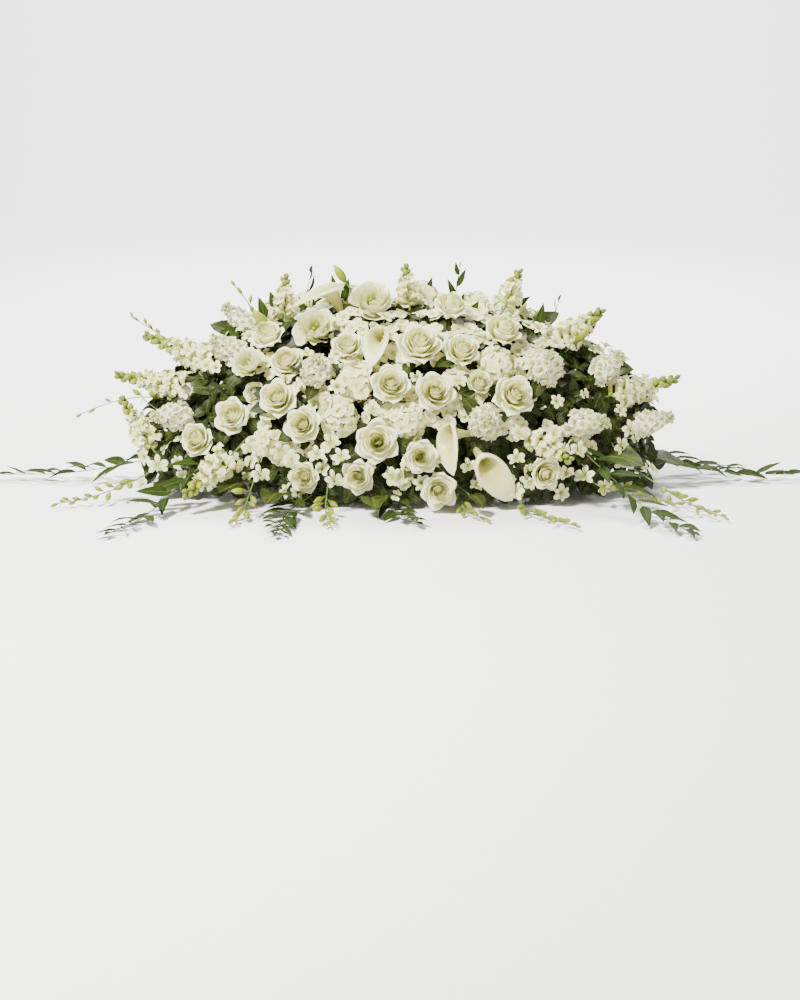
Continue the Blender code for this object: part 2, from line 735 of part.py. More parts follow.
def calla_shape(width):
    """A funnel with a flared lip drawn out to a tip along X, and the spadix that stands in it."""
    wall = CALLA_WALL
    depth = width * HEAD_LENGTHS["calla"]

    def ring(radius, height, flare, inset):
        points = []
        for i in range(CALLA_SIDES):
            angle = math.tau * i / CALLA_SIDES
            pull = max(math.cos(angle), 0) ** 2
            reach = radius * (1 + flare * pull) - inset
            drop = flare * width * (CALLA_TIP_DROP * pull - CALLA_SIDE_RISE * abs(math.sin(angle)))
            points.append(Vector((reach * math.cos(angle), reach * math.sin(angle), height - drop)))
        return points

    throat, corner, shoulder, tip = (depth * share for share in SPADIX_HEIGHTS)
    rings = [circle(CALLA_FOOT_RADIUS, 0, CALLA_SIDES)]
    rings += [ring(r * width, depth * h, flare, 0) for r, h, flare in CALLA_FUNNEL]
    rings.append(ring(CALLA_LIP * width, depth, CALLA_FLARE, 0))
    rings.append(ring(CALLA_LIP * width, depth + wall, CALLA_FLARE, wall))
    rings += [ring(r * width, depth * h + wall, flare, wall) for r, h, flare in CALLA_FUNNEL[:0:-1]]
    rings.append(circle(SPADIX_RADIUS + wall, throat, CALLA_SIDES))
    rings.append(circle(SPADIX_RADIUS, corner, CALLA_SIDES))
    rings.append(circle(SPADIX_RADIUS, shoulder, CALLA_SIDES))
    return loft(Vector((0, 0, 0)), rings, Vector((0, 0, tip)))


def head_shape(head):
    """The skin of a head where it stands."""
    matrix = aimed(head.foot(), head.facing)
    if head.kind == "calla":
        across = head.facing.cross(head.lean).normalized()
        turn = Matrix((across.cross(head.facing), across, head.facing)).transposed().to_4x4()
        return placed(calla_shape(head.width), Matrix.Translation(head.foot()) @ turn)
    rows, heart, petals = HEAD_LAYERS[head.kind]
    return placed(petalled(head.width, head.length, rows, heart, petals), matrix)


class Bunch:
    """The stems gathered on one pick, with what grows on them."""

    def __init__(self, name, space):
        self.name = name
        self.space = space
        face, x, other = PICKS[name]
        self.out = {"top": UP, "front": Vector((0, -1, 0)), "back": Vector((0, 1, 0))}[face]
        if face == "top":
            self.mouth = Vector((x, other, 0)) * MM + UP * FOAM_TOP
        else:
            self.mouth = Vector((x, 0, other)) * MM + self.out * FOAM_SIZE.y / 2
        self.knot = self.mouth + self.out * PICK_PROUD * 0.6
        self.shapes = [pick_shape(self.mouth, self.out)]

    def grow(self, shape, places=(), radius=0.0):
        self.shapes.append(shape)
        if len(places):
            self.space.fill(self.name, places, radius)

    def free(self, places, radius, also=()):
        return self.space.is_clear({self.name, *also}, places, radius)

    def line_through(self, points):
        """A smooth line from the knot, half outwards at first, through points in millimetres."""
        places = [Vector(point) * MM for point in points]
        away = (places[0] - self.knot).normalized() + self.out
        return smooth([self.knot, self.knot + away.normalized() * PICK_LEAD, *places], 3)

    def route_to(self, place, facing, also=()):
        """A line from the knot that arrives along the facing, bent clear of other bunches."""
        chord = place - self.knot
        across = chord.cross(facing + self.out * 0.3).normalized()
        over = across.cross(chord).normalized()
        lead = min(LEAD_SHARE * chord.length, LEAD_MOST)
        away = (chord.normalized() + self.out * 0.7).normalized()
        root = self.knot + away * PICK_RADIUS * 0.7
        for sway in SWAYS:
            for side in range(SWAY_WAYS):
                angle = math.tau * side / SWAY_WAYS
                bend = (across * math.cos(angle) + over * math.sin(angle)) * sway
                start = self.knot + away * lead + bend
                stop = place - facing * lead + bend
                line = bezier(root, start, stop, place, STEM_STEPS)
                if self.free(dense(line)[CROWDED:], STEM_RADIUS, also):
                    return line
        return bezier(root, self.knot + away * lead, place - facing * lead, place, STEM_STEPS)

    def carry(self, head):
        """The stem of a head, flared to a flat calyx that the head sits on or is one with."""
        seat = head.foot() - head.facing * TOUCH
        line = self.route_to(seat - head.facing * CALYX_LENGTH, head.facing, {head.name})
        if head.kind in WHOLE_BUNCHES:
            inside = head.foot() + head.facing * CALYX_LENGTH / 2
            self.grow(tube(line + [inside], [STEM_RADIUS] * (len(line) + 1)), dense(line), STEM_RADIUS)
            self.shapes.append(head_shape(head))
            return
        radii = [STEM_RADIUS] * len(line) + [SEAT_RADIUS]
        self.grow(tube(line + [seat], radii), dense(line), STEM_RADIUS)
        self.collar_leaf(line[-1], head)

    def collar_leaf(self, foot, head):
        """A leaf from just under a head, out through a gap beside it."""
        side = head.facing.orthogonal().normalized()
        for attempt in range(COLLAR_WAYS * len(COLLAR_RISES)):
            out = Matrix.Rotation(attempt % COLLAR_WAYS * math.tau / COLLAR_WAYS, 3, head.facing) @ side
            way = (out + head.facing * COLLAR_RISES[attempt // COLLAR_WAYS]).normalized()
            tip = foot + way * (head.width * 0.35 + COLLAR_LEAF * 0.55)
            across = way.cross(head.facing).normalized() * COLLAR_WIDTH * 0.4
            middle = foot.lerp(tip, 0.5)
            tested = dense([foot + way * 10 * MM, tip]) + dense([middle - across, middle + across])
            if self.free(tested, LEAF_SPARE, {head.name}) and clear_of(head, tested):
                rings = blade_rings(foot, tip, head.facing, COLLAR_WIDTH, (1.0,), COLLAR_ARCH)
                self.grow(loft(foot, rings, tip), tested, LEAF_SPARE)
                return

    def leaf(self, foot, tip, face, width):
        """A salal leaf, in one skin with its stalk."""
        along = (tip - foot).normalized()
        line = self.route_to(foot, along)
        self.space.fill(self.name, dense(line), STALK_RADIUS)
        self.space.fill(self.name, dense([foot, tip]), 2 * LEAF_SPARE)
        stalk = [blade_ring(place, along, face, STALK_RADIUS * 2, 0, STALK_RADIUS * 2) for place in line]
        self.shapes.append(loft(line[0], stalk + blade_rings(foot, tip, face, width, SALAL_SHARES), tip))

    def strand(self, points, pairs):
        """A ruscus strand: one long arched blade, cut to its rib into pairs of leaves."""
        line = self.line_through(points)
        self.space.fill(self.name, dense(line), STEM_RADIUS)
        stem = STEM_RADIUS * 0.8
        rings = [rib_ring(line, share, stem) for share in (0.0, RUSCUS_BARE / 3, RUSCUS_BARE * 2 / 3)]
        step = (RUSCUS_END - RUSCUS_BARE) / pairs
        for pair in range(pairs):
            share = RUSCUS_BARE + step * pair
            stem = STEM_RADIUS * (0.8 - 0.4 * pair / pairs)
            rings.append(rib_ring(line, share, stem))
            ring = rib_ring(line, share + step / 2, stem)
            length = RUSCUS_LEAF * (0.75 + 0.35 * math.sin(math.pi * (pair + 0.5) / pairs))
            ring[0] = self.leaf_tip(line, share, step, length, 1) or ring[0]
            ring[2] = self.leaf_tip(line, share, step, length * 0.92, -1) or ring[2]
            rings.append(ring)
        rings.append(rib_ring(line, RUSCUS_END, stem))
        self.shapes.append(loft(line[0], rings, line[-1] + (line[-1] - line[-2]) * 0.15))

    def leaf_tip(self, line, share, step, length, side):
        """The tip of a leaf beside a strand, turned up or down until it is clear."""
        rib, along, across, up = rib_frame(line, share + step / 2)
        roots = [rib_frame(line, share + step * part)[0] for part in (0.0, 0.5, 1.0)]
        for turn in RUSCUS_TURNS:
            out = across * side * math.cos(turn) + up * math.sin(turn)
            tip = rib + (along * math.cos(RUSCUS_SPREAD) + out * math.sin(RUSCUS_SPREAD)) * length
            places = [place for root in roots for place in dense([root, tip])[1:]]
            if self.free(places, RUSCUS_SPARE):
                self.space.fill(self.name, places, RUSCUS_SPARE)
                return tip
        return None

    def spike(self, foot, tip, width):
        """A snapdragon: whorls of open flowers, and of buds towards its tip."""
        foot, tip = raised(foot), raised(tip)
        along = (tip - foot).normalized()
        line = self.route_to(foot, along)
        inside = foot + along * SPIKE_ROOT
        self.grow(tube(line + [inside], [STEM_RADIUS] * (len(line) + 1)), dense(line), STEM_RADIUS)
        shape = petalled(width, (tip - foot).length, SPIKE_ROWS, 1.0, SPIKE_PETALS)
        self.grow(placed(shape, aimed(foot, along)), dense([foot, tip]), width * SPIKE_BODY)

    def arch(self, points, flowers, pairs):
        """An orchid spray: open flowers where it leaves the mound, pairs of buds out to its tip."""
        line = self.line_through(points)
        self.space.fill(self.name, dense(line), STEM_RADIUS)
        first_bud = ORCHID_BARE + ORCHID_STEP * flowers
        joints = [ORCHID_BARE + ORCHID_STEP * n for n in range(flowers)]
        bare = (0, ORCHID_BARE / 3, ORCHID_BARE * 2 / 3)
        rings = [rib_ring(line, share, STEM_RADIUS) for share in (*bare, *joints)]
        step = (1 - first_bud) / pairs
        for pair in range(pairs):
            share = first_bud + step * pair
            stem = STEM_RADIUS * (0.9 - 0.5 * pair / pairs)
            rings.append(rib_ring(line, share, stem))
            length = ORCHID_BUD * (1 - 0.5 * pair / pairs)
            rings.append(bud_ring(line, share + step * 0.45, stem * 1.4, length))
        self.shapes.append(loft(line[0], rings, line[-1]))
        for n, share in enumerate(joints):
            root, along = at_share(line, share)
            side = along.cross(UP).normalized()
            look = (side * (0.8 if n % 2 else -0.8) + UP * 0.7 + along * 0.3).normalized()
            place = root + look * ORCHID_STALK
            self.grow(star(place, look, ORCHID_RADIUS, 5, n, ORCHID_STALK), [place], ORCHID_RADIUS)

    def finish(self, material):
        return finished(fused(self.name, self.shapes), material)


def clear_of(head, places):
    """Whether places keep out of a head's own body, which narrows from its rim to its foot."""
    foot = head.foot()
    for place in places:
        height = (place - foot).dot(head.facing)
        reach = ((place - foot) - head.facing * height).length
        widest = SEAT_RADIUS + head.width / 2 * min(max(height, 0) / (0.3 * head.length), 1)
        if 0 < height + 3 * MM < head.length + 3 * MM and reach < widest + 2 * MM:
            return False
    return True


def pick_shape(mouth, out):
    """The spike that a bunch stands on, its knot just proud of the foam."""
    rings = [
        circle(1 * MM, 0, PICK_SIDES),
        circle(PICK_RADIUS, 8 * MM, PICK_SIDES),
        circle(PICK_RADIUS, PICK_DEPTH + 1 * MM, PICK_SIDES),
        circle(PICK_RADIUS + 3 * MM, PICK_DEPTH + 3 * MM, PICK_SIDES),
        circle(PICK_RADIUS + 1 * MM, PICK_DEPTH + PICK_PROUD, PICK_SIDES),
    ]
    shape = loft(Vector((0, 0, 0)), rings, UP * (PICK_DEPTH + PICK_PROUD))
    return placed(shape, aimed(mouth - out * PICK_DEPTH, out))


def box_shape(low, high):
    corners = [
        [Vector((x, y, z)) for x, y in ((high.x, high.y), (low.x, high.y), (low.x, low.y), (high.x, low.y))]
        for z in (low.z, high.z)
    ]
    middle = (low + high) / 2
    return loft(Vector((middle.x, middle.y, low.z)), corners, Vector((middle.x, middle.y, high.z)))


def make_foam(bunches):
    """The foam block, with a plain hole for each pick."""
    half = FOAM_SIZE / 2
    low = Vector((-half.x, -half.y, FOAM_BOTTOM))
    shapes = [box_shape(low, low + FOAM_SIZE)]
    for bunch in bunches:
        hole = PICK_RADIUS + HOLE_SPARE
        ends = [circle(hole, 0, PICK_SIDES), circle(hole, PICK_DEPTH + 5 * MM, PICK_SIDES)]
        shape = loft(Vector((0, 0, 0)), ends, UP * (PICK_DEPTH + 5 * MM))
        start = bunch.mouth - bunch.out * (PICK_DEPTH + 1 * MM)
        shapes.append(placed(shape, aimed(start, bunch.out)))
    return finished(fused("foam_block", shapes, "DIFFERENCE"), "foam")


def leg_shape(x_side, y_side):
    """One splayed leg, from the tray's wall down to a flat foot."""
    wall = FOAM_SIZE.y / 2 + TOUCH + TRAY_WALL
    top = LEG_HEIGHT + TRAY_DEPTH
    stations = [
        (wall - 1 * MM, top - 2 * MM, 0.9),
        (wall + 10 * MM, top - 3 * MM, 0.9),
        (wall + 30 * MM, LEG_HEIGHT * 0.72, 0.8),
        (wall + 48 * MM, LEG_HEIGHT * 0.30, 0.8),
        (wall + 54 * MM, LEG_THICKNESS, 0.9),
    ]
    rings = []
    for y, z, share in stations:
        half = LEG_WIDTH * share / 2
        x = LEG_INSET * x_side
        inner = [(x - half, y, z - LEG_THICKNESS / 2), (x + half, y, z - LEG_THICKNESS / 2)]
        outer = [(x + half, y + LEG_THICKNESS, z + 2 * MM), (x - half, y + LEG_THICKNESS, z + 2 * MM)]
        rings.append([Vector((px, py * y_side, pz)) for px, py, pz in inner + outer])
    if y_side > 0:
        rings = [ring[::-1] for ring in rings]
    first = sum(rings[0], Vector()) / 4
    last = sum(rings[-1], Vector()) / 4
    return loft(first, rings, last)


def make_saddle():
    """The tray with its four legs, moulded in one."""
    outer = FOAM_SIZE / 2 + Vector((TOUCH + TRAY_WALL, TOUCH + TRAY_WALL, 0))
    inner = FOAM_SIZE / 2 + Vector((TOUCH, TOUCH, 0))
    body = box_shape(
        Vector((-outer.x, -outer.y, LEG_HEIGHT)),
        Vector((outer.x, outer.y, LEG_HEIGHT + TRAY_DEPTH)),
    )
    parts = [body]
    for x_side in (-1, 1):
        for y_side in (-1, 1):
            parts.append(leg_shape(x_side, y_side))
            middle = Vector((LEG_INSET * x_side, FOOT_REACH * y_side, 0))
            half = Vector((FOOT_LENGTH / 2, FOOT_WIDTH / 2, 0))
            parts.append(box_shape(middle - half, middle + half + UP * LEG_THICKNESS))
    saddle = fused("saddle_solid", parts)
    hollow = box_shape(
        Vector((-inner.x, -inner.y, LEG_HEIGHT + TRAY_FLOOR)),
        Vector((inner.x, inner.y, LEG_HEIGHT + TRAY_DEPTH + 10 * MM)),
    )
    cutter = object_of("saddle_hollow", hollow)
    cut = saddle.modifiers.new("hollow", "BOOLEAN")
    cut.operation = "DIFFERENCE"
    cut.object = cutter
    cutter.hide_render = True
    cutter.display_type = "WIRE"
    saddle.name = "saddle"
    return finished(saddle, "saddle")


def bunch_for(head):
    """The bunch that carries a head, from its kind or from where it is."""
    if head.kind in WHOLE_BUNCHES:
        return WHOLE_BUNCHES[head.kind]
    if head.middle.y > 0.05:
        return "greenery_back"
    if abs(head.middle.x) < 0.24 and head.middle.z < 0.25:
        return "greenery_front"
    return "greenery_left" if head.middle.x < 0 else "greenery_right"


def main():
    for thing in list(bpy.data.objects):
        bpy.data.objects.remove(thing)
    heads = all_heads()
    settle(heads)
    space = Space(keep_out_boxes())
    for head in heads:
        for place, radius in head.balls():
            space.fill(head.name, [place], radius)
        if head.kind not in WHOLE_BUNCHES:
            finished(object_of(head.name, head_shape(head)), head.kind)
    bunches = {name: Bunch(name, space) for name in PICKS}
    for part, sprays in ORCHIDS.items():
        for points, flowers, pairs in sprays:
            bunches[f"orchids_{part}"].arch(points, flowers, pairs)
    for part, strands in RUSCUS.items():
        for points, pairs in strands:
            bunches[f"greenery_{part}"].strand(points, pairs)
    for part, spikes in SNAPDRAGONS.items():
        for foot, tip, width in spikes:
            bunches[f"snapdragons_{part}"].spike(foot, tip, width * MM)
    for part, leaves in SALAL.items():
        for foot, tip, face, width in leaves:
            bunches[f"greenery_{part}"].leaf(raised(foot), raised(tip), Vector(face), width * MM)
    for head in heads:
        bunches[bunch_for(head)].carry(head)
    for name, bunch in bunches.items():
        bunch.finish(name.split("_")[0])
    make_foam(bunches.values())
    make_saddle()


main()
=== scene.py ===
"""Casket spray: white roses, lisianthus, callas, hydrangea, stock, snapdragons and dendrobium
orchids with ruscus and salal leaves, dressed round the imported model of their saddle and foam.

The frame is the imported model's: X along the spray, -Y to its front, +Z up, in metres.
"""

import math

import bpy
import numpy as np
from mathutils import Matrix, Vector


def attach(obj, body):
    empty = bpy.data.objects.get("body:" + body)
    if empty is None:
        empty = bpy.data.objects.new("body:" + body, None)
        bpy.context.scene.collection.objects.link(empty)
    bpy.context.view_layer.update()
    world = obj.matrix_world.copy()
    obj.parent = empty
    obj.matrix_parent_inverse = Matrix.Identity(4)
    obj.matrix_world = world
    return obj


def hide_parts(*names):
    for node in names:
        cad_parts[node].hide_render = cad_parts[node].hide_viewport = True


MM = 0.001
UP = Vector((0, 0, 1))
FRONT = Vector((0, -1, 0))
GOLDEN_ANGLE = math.pi * (3 - math.sqrt(5))
FLOOR_GAP = 1.2 * MM  # what the lowest leaf keeps above the surface

# The mound that the heads lie on: half of an ellipsoid, flat side down
MOUND_HALF_LENGTH = 0.700
MOUND_HALF_DEPTH = 0.340  # on its front
MOUND_BACK_DEPTH = 0.235
MOUND_HEIGHT = 0.450
MOUND_BASE = 0.020  # how far above the surface its flat side is

# The foam's faces, which the picks stand in, and where each bunch gathers over its pick
FOAM_HALF_LENGTH = 0.330
FOAM_FRONT = 0.060
FOAM_TOP = 0.1793
FOAM_SPARE = 12 * MM  # what leaves keep clear of the foam and its tray
KNOT_RISE = 9.6 * MM
PICK_RADIUS = 6 * MM
PICK_LEAD = 0.030
STEM_LEAD = 0.090  # how far from its ends a stem bends, at most
STEM_RADIUS = 2.6 * MM

SETTLE_ROUNDS = 60
SETTLE_REACH = 0.25  # heads further apart than this never meet
HEAD_GAP = 0.8 * MM
HEAD_LIFT = 4 * MM  # what a low head keeps above the surface
# A head's length over its width, where the tables don't give it, and the share of it under its middle
HEAD_LENGTHS = {"rose": 0.68, "lisianthus": 0.62, "hydrangea": 0.85, "calla": 1.0}
FOOT_SHARES = {"rose": 0.62, "lisianthus": 0.66, "hydrangea": 0.50, "calla": 0.95, "stock": 0.50}
CALLA_BALLS = ((0.0, 0.46), (-0.5, 0.20))  # the balls it fits in: place and radius over its width
CALLA_GROWTH = 1.08  # how much wider its bloom is than its seat

# Where the heads on the mound's front and back stand, in millimetres: x, the height over the
# mound's flat side, the width, and how far the head stands proud. The mound gives the depth y.
MOUND_HEADS = {
    "rose": (
        [
            (-300, 355, 84, 0), (-255, 310, 90, -16), (-268, 222, 92, 10), (-372, 190, 88, -6),
            (-455, 128, 86, 6), (-212, 172, 88, 22), (-212, 58, 74, 8), (-92, 60, 78, 6), (-45, 140, 98, 14),
            (-20, 252, 92, 12), (75, 240, 96, 4), (40, 340, 106, 10), (132, 330, 88, 0), (115, 412, 84, 8),
            (232, 365, 90, 4), (252, 232, 96, 12), (178, 262, 66, 4), (55, 112, 80, 18), (85, 32, 86, 14),
            (325, 60, 80, 0), (-112, 338, 82, -6), (-335, 238, 60, -22),
        ],
        [
            (-345, 235, 88, 0), (-205, 300, 90, 0), (-60, 250, 92, 0), (85, 305, 90, 0), (215, 225, 90, 0),
            (350, 250, 86, 0), (-225, 395, 84, 0), (178, 395, 86, 0),
        ],
    ),
    "lisianthus": (
        [(-338, 288, 76, 8), (-190, 372, 98, 0), (-62, 425, 106, 0)],
        [(-40, 345, 96, 0)],
    ),
    "hydrangea": (
        [(-98, 268, 92, -30), (-135, 200, 92, -22), (8, 190, 94, -26), (215, 300, 88, -24)],
        [(-135, 438, 100, -34), (48, 446, 100, -40), (-290, 398, 96, -36), (262, 406, 96, -40)],
    ),
}
# Open florets tucked between the heads, set like them, with their radius for a width
FLORETS = (
    [
        (-294, 139, 24, 4), (-262, 112, 25, -2), (-238, 96, 22, 0), (-180, 107, 22, 8),
        (-152, 132, 24, -4), (-128, 104, 22, 6), (-16, 62, 23, 6), (18, 84, 20, -4), (515, 143, 24, 0),
        (492, 110, 22, 2), (392, 108, 22, 4), (150, 84, 20, 4), (262, 150, 22, -2), (-330, 118, 22, 2),
        (-398, 96, 20, 2), (-60, 205, 20, 0), (128, 262, 20, 4), (-150, 300, 20, 6), (-20, 352, 18, 4),
    ],
    [
        (-300, 150, 24, 4), (-120, 330, 22, 2), (60, 180, 24, 4), (230, 120, 22, 0), (410, 170, 22, 4),
    ],
)
# A calla: its seat's middle, the way the seat faces, and its width
CALLAS = [
    ((-172, -70, 418), (-0.55, -0.55, 0.62), 92),
    ((-38, -206, 352), (0.05, -0.80, 0.60), 78),
    ((112, -322, 150), (-0.35, -0.90, 0.28), 88),
    ((205, -335, 66), (0.15, -0.95, 0.28), 92),
]
# How each calla's bloom looks, the way its lip points, how far it is moved off its seat, its droop
CALLA_LOOKS = {
    "calla_01": ((-0.36, -0.20, 0.90), (-0.95, -0.10, 0.10), (16, -8, 26), 0.10),
    "calla_02": ((-0.30, -0.72, 0.60), (-0.10, -0.30, -0.90), (-6, -6, 6), 0.10),
    "calla_03": ((-0.70, -0.60, 0.12), (0.15, -0.30, -0.90), (-4, -4, 4), 0.05),
    "calla_04": ((0.32, -0.78, -0.34), (0.58, -0.22, -0.78), (-16, 2, 20), -0.30),
}
# A head of stock: its middle, the way it grows, its length and its diameter, front and back
STOCKS = [
    ((-372, -30, 372), (-0.75, 0.0, 0.66), 108, 70), ((-392, -140, 318), (-0.72, -0.50, 0.48), 104, 72),
    ((-515, -190, 170), (-0.85, -0.45, 0.10), 116, 76), ((-186, -250, 292), (0.0, -0.72, 0.69), 76, 84),
    ((172, -308, 172), (0.05, -0.95, 0.30), 76, 90), ((328, -205, 292), (0.15, -0.72, 0.68), 84, 92),
    ((420, -238, 162), (0.75, -0.62, 0.22), 110, 80), ((575, -140, 150), (0.90, -0.25, 0.34), 116, 68),
    ((474, -128, 278), (0.62, -0.40, 0.67), 100, 76),
    ((-80, 215, 150), (-0.1, 0.95, 0.30), 84, 84), ((-250, 195, 130), (-0.3, 0.90, 0.30), 88, 84),
    ((120, 215, 120), (0.1, 0.95, 0.30), 84, 84), ((330, 180, 110), (0.4, 0.85, 0.30), 92, 82),
]
# A snapdragon spike, by its pick: the foot of its flowers, its tip and its width
SNAPDRAGONS = {
    "left": [
        ((-400, -95, 268), (-592, -10, 330), 58), ((-480, -80, 215), (-655, -40, 240), 54),
        ((-560, -130, 80), (-640, -75, 195), 50), ((-375, -280, 96), (-470, -372, 24), 54),
    ],
    "top": [
        ((-262, -62, 375), (-262, -28, 470), 46), ((22, -55, 400), (12, -20, 492), 46),
        ((238, -68, 400), (272, -30, 478), 48),
    ],
    "right": [
        ((360, -80, 318), (462, -30, 388), 56), ((470, -130, 205), (640, -40, 232), 56),
        ((300, -275, 140), (372, -352, 98), 48),
    ],
}
# A dendrobium spray, by its pick: the points that its stem passes, in millimetres over the
# surface, then its open flowers and its pairs of buds before the last three. Thin ones have buds
# alone.
ORCHIDS = {
    "left": [
        (((-420, -85, 150), (-560, -190, 64), (-680, -262, 22), (-760, -292, 12)), 3, 6),
        (((-290, -190, 150), (-318, -315, 76), (-338, -410, 22), (-358, -480, 12)), 3, 5),
        (((-380, 10, 250), (-490, 20, 300), (-575, 60, 350), (-632, 85, 380)), 0, 6),
        (((-150, -170, 140), (-158, -330, 62), (-160, -420, 20), (-148, -500, 12)), 3, 5),
        (((-300, -50, 300), (-322, -52, 380), (-348, -50, 430), (-376, -46, 466)), 0, 3),
        (((-440, -70, 180), (-560, -66, 212), (-650, -62, 204), (-738, -58, 172)), 0, 3),
    ],
    "right": [
        (((380, -90, 130), (520, -215, 76), (620, -340, 28), (700, -440, 12)), 3, 6),
        (((270, -150, 110), (270, -335, 18), (310, -430, 12), (372, -520, 12)), 2, 5),
        (((350, -130, 96), (440, -270, 48), (520, -340, 42), (610, -412, 34)), 2, 5),
        (((120, -180, 80), (138, -330, 16), (155, -400, 12), (185, -440, 12)), 1, 4),
    ],
}
# A ruscus strand of a greenery bunch: the points that its stem passes, in millimetres over the
# surface, and the pairs of leaves on its solid
RUSCUS = {
    "left": [
        (((-350, -25, 205), (-560, -5, 70), (-760, 8, 24), (-925, 16, 16)), 9),
        (((-300, -120, 196), (-486, -288, 52), (-548, -430, 14), (-600, -575, 12)), 8),
        (((-180, 20, 330), (-205, 10, 400), (-212, 5, 450), (-205, 10, 490)), 3),
    ],
    "front": [
        (((-110, -190, 76), (-228, -330, 16), (-250, -450, 12), (-258, -575, 12)), 7),
        (((-30, -190, 70), (-12, -330, 14), (0, -410, 12), (34, -480, 12)), 5),
    ],
    "right": [
        (((350, -25, 205), (560, -8, 70), (760, 6, 24), (925, 16, 16)), 9),
        (((300, -120, 204), (430, -290, 104), (530, -430, 30), (605, -575, 12)), 8),
        (((340, 50, 205), (520, 75, 80), (680, 90, 30), (800, 100, 14)), 7),
        (((130, 40, 330), (128, 60, 410), (132, 60, 455), (140, 58, 496)), 3),
        (((260, 10, 300), (330, 0, 350), (352, 0, 390), (366, 4, 425)), 3),
    ],
    "back": [
        (((-200, 180, 120), (-330, 340, 34), (-400, 470, 14), (-440, 575, 12)), 8),
        (((180, 180, 120), (300, 340, 34), (370, 470, 14), (420, 575, 12)), 8),
    ],
}
# A salal leaf: the foot of its blade, its tip, the way its face looks, and its width
SALAL = {
    "left": [
        ((-330, 20, 300), (-440, 5, 352), (-0.3, -0.6, 0.7), 62),
        ((-400, -120, 220), (-490, -175, 232), (-0.2, -0.6, 0.8), 56),
        ((-330, -260, 40), (-395, -360, 30), (-0.2, -0.5, 0.8), 62),
        ((-455, -130, 44), (-555, -218, 6), (-0.3, -0.3, 0.9), 64),
        ((-440, 30, 170), (-560, 60, 190), (-0.3, 0.0, 0.9), 60),
    ],
    "front": [
        ((-262, -310, 20), (-290, -400, 12), (0.0, -0.3, 0.9), 60),
        ((-62, -330, 14), (-52, -430, 8), (0.0, -0.3, 0.9), 62),
        ((152, -330, 20), (182, -400, 4), (0.0, -0.3, 0.9), 34),
    ],
    "right": [
        ((440, 0, 240), (540, -20, 250), (0.2, -0.7, 0.7), 62),
        ((450, -200, 80), (540, -268, 70), (0.2, -0.7, 0.7), 66),
        ((540, -70, 60), (655, -120, 40), (0.3, -0.3, 0.9), 60),
        ((300, 60, 320), (372, 60, 372), (0.2, -0.6, 0.7), 52),
    ],
    "back": [
        ((-430, 110, 110), (-540, 160, 80), (-0.3, 0.5, 0.8), 70),
        ((-170, 250, 80), (-190, 340, 30), (-0.1, 0.7, 0.7), 70),
        ((0, 250, 80), (10, 345, 30), (0.0, 0.7, 0.7), 70),
        ((210, 240, 70), (240, 330, 24), (0.1, 0.7, 0.7), 70),
        ((430, 120, 110), (540, 170, 80), (0.3, 0.5, 0.8), 70),
        ((-400, 90, 250), (-490, 120, 262), (-0.3, 0.5, 0.8), 64),
        ((400, 70, 270), (480, 100, 276), (0.3, 0.5, 0.8), 64),
    ],
}
# Single dark leaves that stand up between the heads: foot, tip and width
TOP_LEAVES = [
    ((-131, -24, 405), (-117, -26, 462), 19), ((-146, 12, 420), (-158, 10, 468), 14),
    ((315, -24, 330), (329, -26, 406), 25), ((252, -10, 386), (300, -18, 420), 19),
    ((148, -42, 358), (180, -44, 412), 28), ((424, -24, 330), (454, -26, 368), 19),
    ((410, -64, 296), (454, -66, 294), 25), ((-358, -54, 340), (-416, -56, 342), 25),
    ((-262, -12, 376), (-247, -14, 430), 18), ((-284, 0, 384), (-300, -2, 430), 22),
    ((-306, -54, 372), (-322, -58, 424), 22), ((62, 8, 420), (74, 6, 462), 15),
    ((-214, -40, 372), (-232, -44, 424), 18),
]
# Closed lily buds: foot and tip
LILY_BUDS = [
    ((-292, -120, 350), (-330, -126, 402)), ((-122, -60, 455), (-150, -60, 496)),
    ((396, -90, 322), (430, -96, 358)), ((300, 120, 330), (336, 136, 372)),
]
# Each bunch's pick: the face of the foam that it enters, its x, and its y or its z there
PICKS = {
    "orchids_left": ("front", -215, 152),
    "orchids_right": ("front", 215, 152),
    "snapdragons_left": ("top", -270, 20),
    "snapdragons_top": ("top", -40, 24),
    "snapdragons_right": ("top", 270, 20),
    "callas": ("front", 75, 152),
    "hydrangeas": ("top", 0, -26),
    "greenery_left": ("top", -150, -8),
    "greenery_front": ("front", -70, 152),
    "greenery_right": ("top", 150, -8),
    "greenery_back": ("back", 20, 152),
}
FACES = {"top": UP, "front": FRONT, "back": -FRONT}
# Where the greens belong to the back bunch, by their y, and to the front one, by their x and height
BACK_FROM = 0.05
FRONT_REACH = 0.24
FRONT_RISE = 0.25

# The layers of a rose from its heart out: petals, half the angle of each, then its rim's radius and
# height, how far it rolls over and how far its sides fall short, as shares of the rose's own
ROSE_LAYERS = (
    (2, 2.10, 0.070, 0.960, -0.01, 0.05),
    (2, 2.00, 0.130, 1.000, 0.00, 0.09),
    (3, 1.60, 0.205, 0.995, 0.01, 0.12),
    (3, 1.45, 0.300, 0.965, 0.04, 0.16),
    (3, 1.35, 0.420, 0.915, 0.09, 0.20),
    (4, 1.10, 0.580, 0.825, 0.17, 0.25),
    (5, 1.00, 0.790, 0.680, 0.26, 0.29),
    (6, 0.86, 1.050, 0.460, 0.34, 0.33),
)
SPRAY_ROSE_WIDTH = 0.070  # narrower roses are spray roses, which stay more closed
SPRAY_ROSE_OPENED = 0.55
LISIANTHUS_PETALS = 15
HYDRANGEA_FLORETS = 42
# The blooms that look another way than their seats do, in the middle of the spray
LOOKS = {"lisianthus_02": (-0.10, -0.80, 0.60), "lisianthus_03": (0.05, -0.72, 0.70)}
